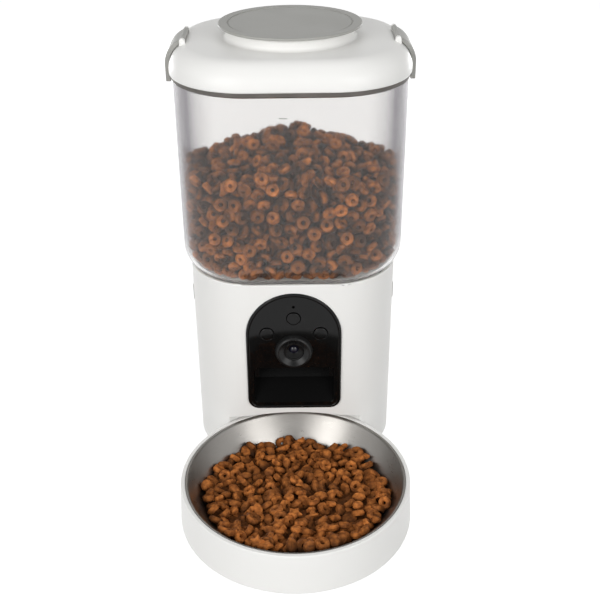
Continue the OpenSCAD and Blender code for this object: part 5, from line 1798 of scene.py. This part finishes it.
@dataclass
class Screws:
    """Cross-head screws in place of the plain ones."""

    head_r: float = 2.8
    head_h: float = 1.6
    head_edge: float = 0.9
    shank_r: float = 1.5
    tip_share: float = 0.6
    tip_h: float = 0.8
    recess_r: float = 1.5
    recess_depth: float = 0.9
    cross_r: float = 1.25
    cross_share: float = 0.3
    core_r: float = 0.42
    steps: int = 24
    sets: tuple[ScrewSet, ...] = (
        ScrewSet("deck_screws", "base", 1, 14.0), ScrewSet("base_screws", "base", -1, 14.0),
        ScrewSet("gearbox_screws", "base", 1, 7.5), ScrewSet("hopper_screws", "hopper", 1, 4.6),
        ScrewSet("lid_screws", "lid", -1, 10.0))

    def pattern(self, shank: float) -> bpy.types.Object:
        """Makes one screw, its head's underside at the origin and its shank down.

        Args:
            shank: Length of the shank.

        Returns:
            The object.
        """
        r, h, edge = self.head_r, self.head_h, self.head_edge
        profile = [(0, -shank), (self.shank_r * self.tip_share, -shank), (self.shank_r, -shank + self.tip_h),
                   (self.shank_r, 0), (r, 0)]
        profile += arc(r - edge, h - edge, edge, 0, 80, 4) + [(self.recess_r, h)]
        form = Form().spin(profile, self.steps)
        rim = sorted(list(form.bm.verts)[-self.steps:], key=lambda v: math.atan2(v.co.y, v.co.x))
        floor = []
        for v in rim:
            a = math.atan2(v.co.y, v.co.x)
            wide = self.cross_r if abs(math.sin(2 * a)) < self.cross_share else self.core_r
            floor.append(form.bm.verts.new((wide * math.cos(a), wide * math.sin(a), h - self.recess_depth)))
        for i, v in enumerate(rim):
            j = (i + 1) % len(rim)
            form.bm.faces.new((v, rim[j], floor[j], floor[i]))
        form.bm.faces.new(floor)
        return form.piece("screw_pattern", STEEL)

    def build(self) -> None:
        """Puts screws where the CAD nodes have them."""
        for screws in self.sets:
            pattern = self.pattern(screws.shank)
            form = Form()
            way = form.bm.verts.layers.float_vector.new("points_to")
            for place in self.places(screws):
                form.bm.verts.new(place)[way] = (0, 0, screws.up)
            piece = form.piece(screws.node + "_cross", STEEL)
            grow(piece, copies_tree(pattern, STEEL), Size=1.0)
            bpy.data.objects.remove(pattern)
            mount(piece, STEEL, screws.body, screws.node)

    def places(self, screws: ScrewSet) -> list[Point3]:
        """Finds the undersides of a node's screw heads.

        Args:
            screws: The node's screws.

        Returns:
            The places, in millimetres.
        """
        bm = bmesh.new()
        bm.from_mesh(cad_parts[screws.node].data)
        bmesh.ops.remove_doubles(bm, verts=bm.verts, dist=2e-6)
        found = []
        for island in islands(bm):
            spots = [v.co / MM for v in island]
            low, high = ([f(p[i] for p in spots) for i in range(3)] for f in (min, max))
            z = high[2] - self.head_h if screws.up > 0 else low[2] + self.head_h
            found.append(((low[0] + high[0]) / 2, (low[1] + high[1]) / 2, z))
        bm.free()
        return sorted(found)


@dataclass(frozen=True)
class Softbox:
    """A soft lamp: its place, what it points at, its width and height, and its power in watts."""

    name: str
    eye: Point3
    aim: Point3
    size: Point2
    power: float

    def build(self) -> None:
        """Makes the lamp."""
        data = bpy.data.lights.new(self.name, "AREA")
        data.shape = "RECTANGLE"
        data.size, data.size_y = self.size[0] * MM, self.size[1] * MM
        data.energy = self.power
        made = bpy.data.objects.new(self.name, data)
        way = (Vector(self.aim) - Vector(self.eye)).to_track_quat("-Z", "Y")
        made.matrix_world = Matrix.Translation(Vector(self.eye) * MM) @ way.to_matrix().to_4x4()
        bpy.context.scene.collection.objects.link(made)


@dataclass
class Studio:
    """Camera, lights, floor and background."""

    eye: Point3 = (0.0, BODY_Y - 775.18, 552.65)
    pitch: float = 29.173
    roll: float = -0.671
    lens: float = 58.267
    sensor_w: float = 36.0
    clip_from: float = 0.01
    shift_x: float = 0.01115
    lamps: tuple[Softbox, ...] = (
        Softbox("left_softbox", (-900, -1150, 700), (0, 40, 170), (900, 900), 12.4),
        Softbox("right_softbox", (900, -1150, 700), (0, 40, 170), (900, 900), 9.4),
        Softbox("top_softbox", (0, 100, 1500), (0, 20, 100), (1200, 1000), 3.4),
        Softbox("back_softbox", (-850, 1300, 190), (0, 90, 190), (500, 300), 4.0),
        Softbox("back_softbox", (850, 1300, 190), (0, 90, 190), (500, 300), 4.0))
    floor_reach: float = 6.0
    floor_colour: Colour = (0.5, 0.5, 0.5)
    floor_glow: float = 0.85
    dome_low: Point2 = (0.3, 1.0)
    dome_high: Point2 = (0.75, 0.3)
    ambient: float = 0.28

    def build(self) -> None:
        """Makes the stage."""
        self.camera()
        self.floor()
        self.world()
        for lamp in self.lamps:
            lamp.build()
        bpy.context.scene.view_settings.view_transform = "Standard"

    def camera(self) -> None:
        """Makes the camera at the photograph's viewing angle."""
        data = bpy.data.cameras.new("photo_camera")
        data.sensor_fit = "HORIZONTAL"
        data.sensor_width = self.sensor_w
        data.lens = self.lens
        data.shift_x = self.shift_x
        data.clip_start = self.clip_from
        made = bpy.data.objects.new("photo_camera", data)
        tilt = Matrix.Rotation(math.radians(90 - self.pitch), 4, "X")
        turn = Matrix.Rotation(math.radians(self.roll), 4, "Z")
        made.matrix_world = Matrix.Translation(Vector(self.eye) * MM) @ tilt @ turn
        bpy.context.scene.collection.objects.link(made)
        bpy.context.scene.camera = made

    @staticmethod
    def seen_rays(tree: Tree) -> Socket:
        """Adds the test for rays that see the stage, by eye or in a mirror or glass.

        Args:
            tree: Material's or world's tree.

        Returns:
            1 for camera, glossy and transmission rays, and 0 for the rest.
        """
        path = tree.add("ShaderNodeLightPath").outputs
        shiny = tree.math("MAXIMUM", path["Is Glossy Ray"], path["Is Transmission Ray"])
        return tree.math("MAXIMUM", path["Is Camera Ray"], shiny)

    def floor(self) -> None:
        """Makes the pale floor, which keeps the object's shadow."""
        mesh, reach = bpy.data.meshes.new("floor"), (-self.floor_reach, self.floor_reach)
        mesh.from_pydata([(x, y, 0) for x, y in corners(reach, reach)], [], [(0, 1, 2, 3)])
        made = bpy.data.objects.new("floor", mesh)
        bpy.context.scene.collection.objects.link(made)
        material = bpy.data.materials.new("pale_floor")
        material.use_nodes = True
        material.node_tree.nodes.clear()
        tree = Tree(material.node_tree)
        matt = tree.add("ShaderNodeBsdfDiffuse", {"Color": rgba(self.floor_colour)})
        glow = tree.add("ShaderNodeEmission", {"Strength": tree.math("MULTIPLY", self.seen_rays(tree),
                                                                     self.floor_glow)})
        both = tree.add("ShaderNodeAddShader", {0: matt.outputs[0], 1: glow.outputs[0]})
        tree.add("ShaderNodeOutputMaterial", {"Surface": both.outputs[0]})
        mesh.materials.append(material)

    def world(self) -> None:
        """Makes the white background, dimmer overhead, and the soft light all round."""
        world = bpy.data.worlds.new("studio")
        bpy.context.scene.world = world
        world.use_nodes = True
        world.node_tree.nodes.clear()
        tree = Tree(world.node_tree)
        way = tree.add("ShaderNodeTexCoord").outputs["Object"]
        dome = tree.span(tree.add("ShaderNodeSeparateXYZ", {0: way}).outputs[2], self.dome_low, self.dome_high)
        seen = self.seen_rays(tree)
        ambient = tree.math("MULTIPLY", tree.math("SUBTRACT", 1.0, seen), self.ambient)
        strength = tree.math("ADD", tree.math("MULTIPLY", seen, dome), ambient)
        back = tree.add("ShaderNodeBackground", {"Color": (1, 1, 1, 1), "Strength": strength})
        tree.add("ShaderNodeOutputWorld", {"Surface": back.outputs[0]})


def main() -> None:
    """Builds the feeder's looks in order."""
    logging.basicConfig(level=logging.INFO, format="%(name)s: %(message)s")
    Studio().build()
    Housing().build()
    FrontPanel().build()
    hopper, bowl = Hopper(), Bowl()
    hopper.build()
    Lid().build()
    bowl.build()
    Kibble().build(hopper, bowl)
    Screws().build()


if __name__ == "__main__":
    main()
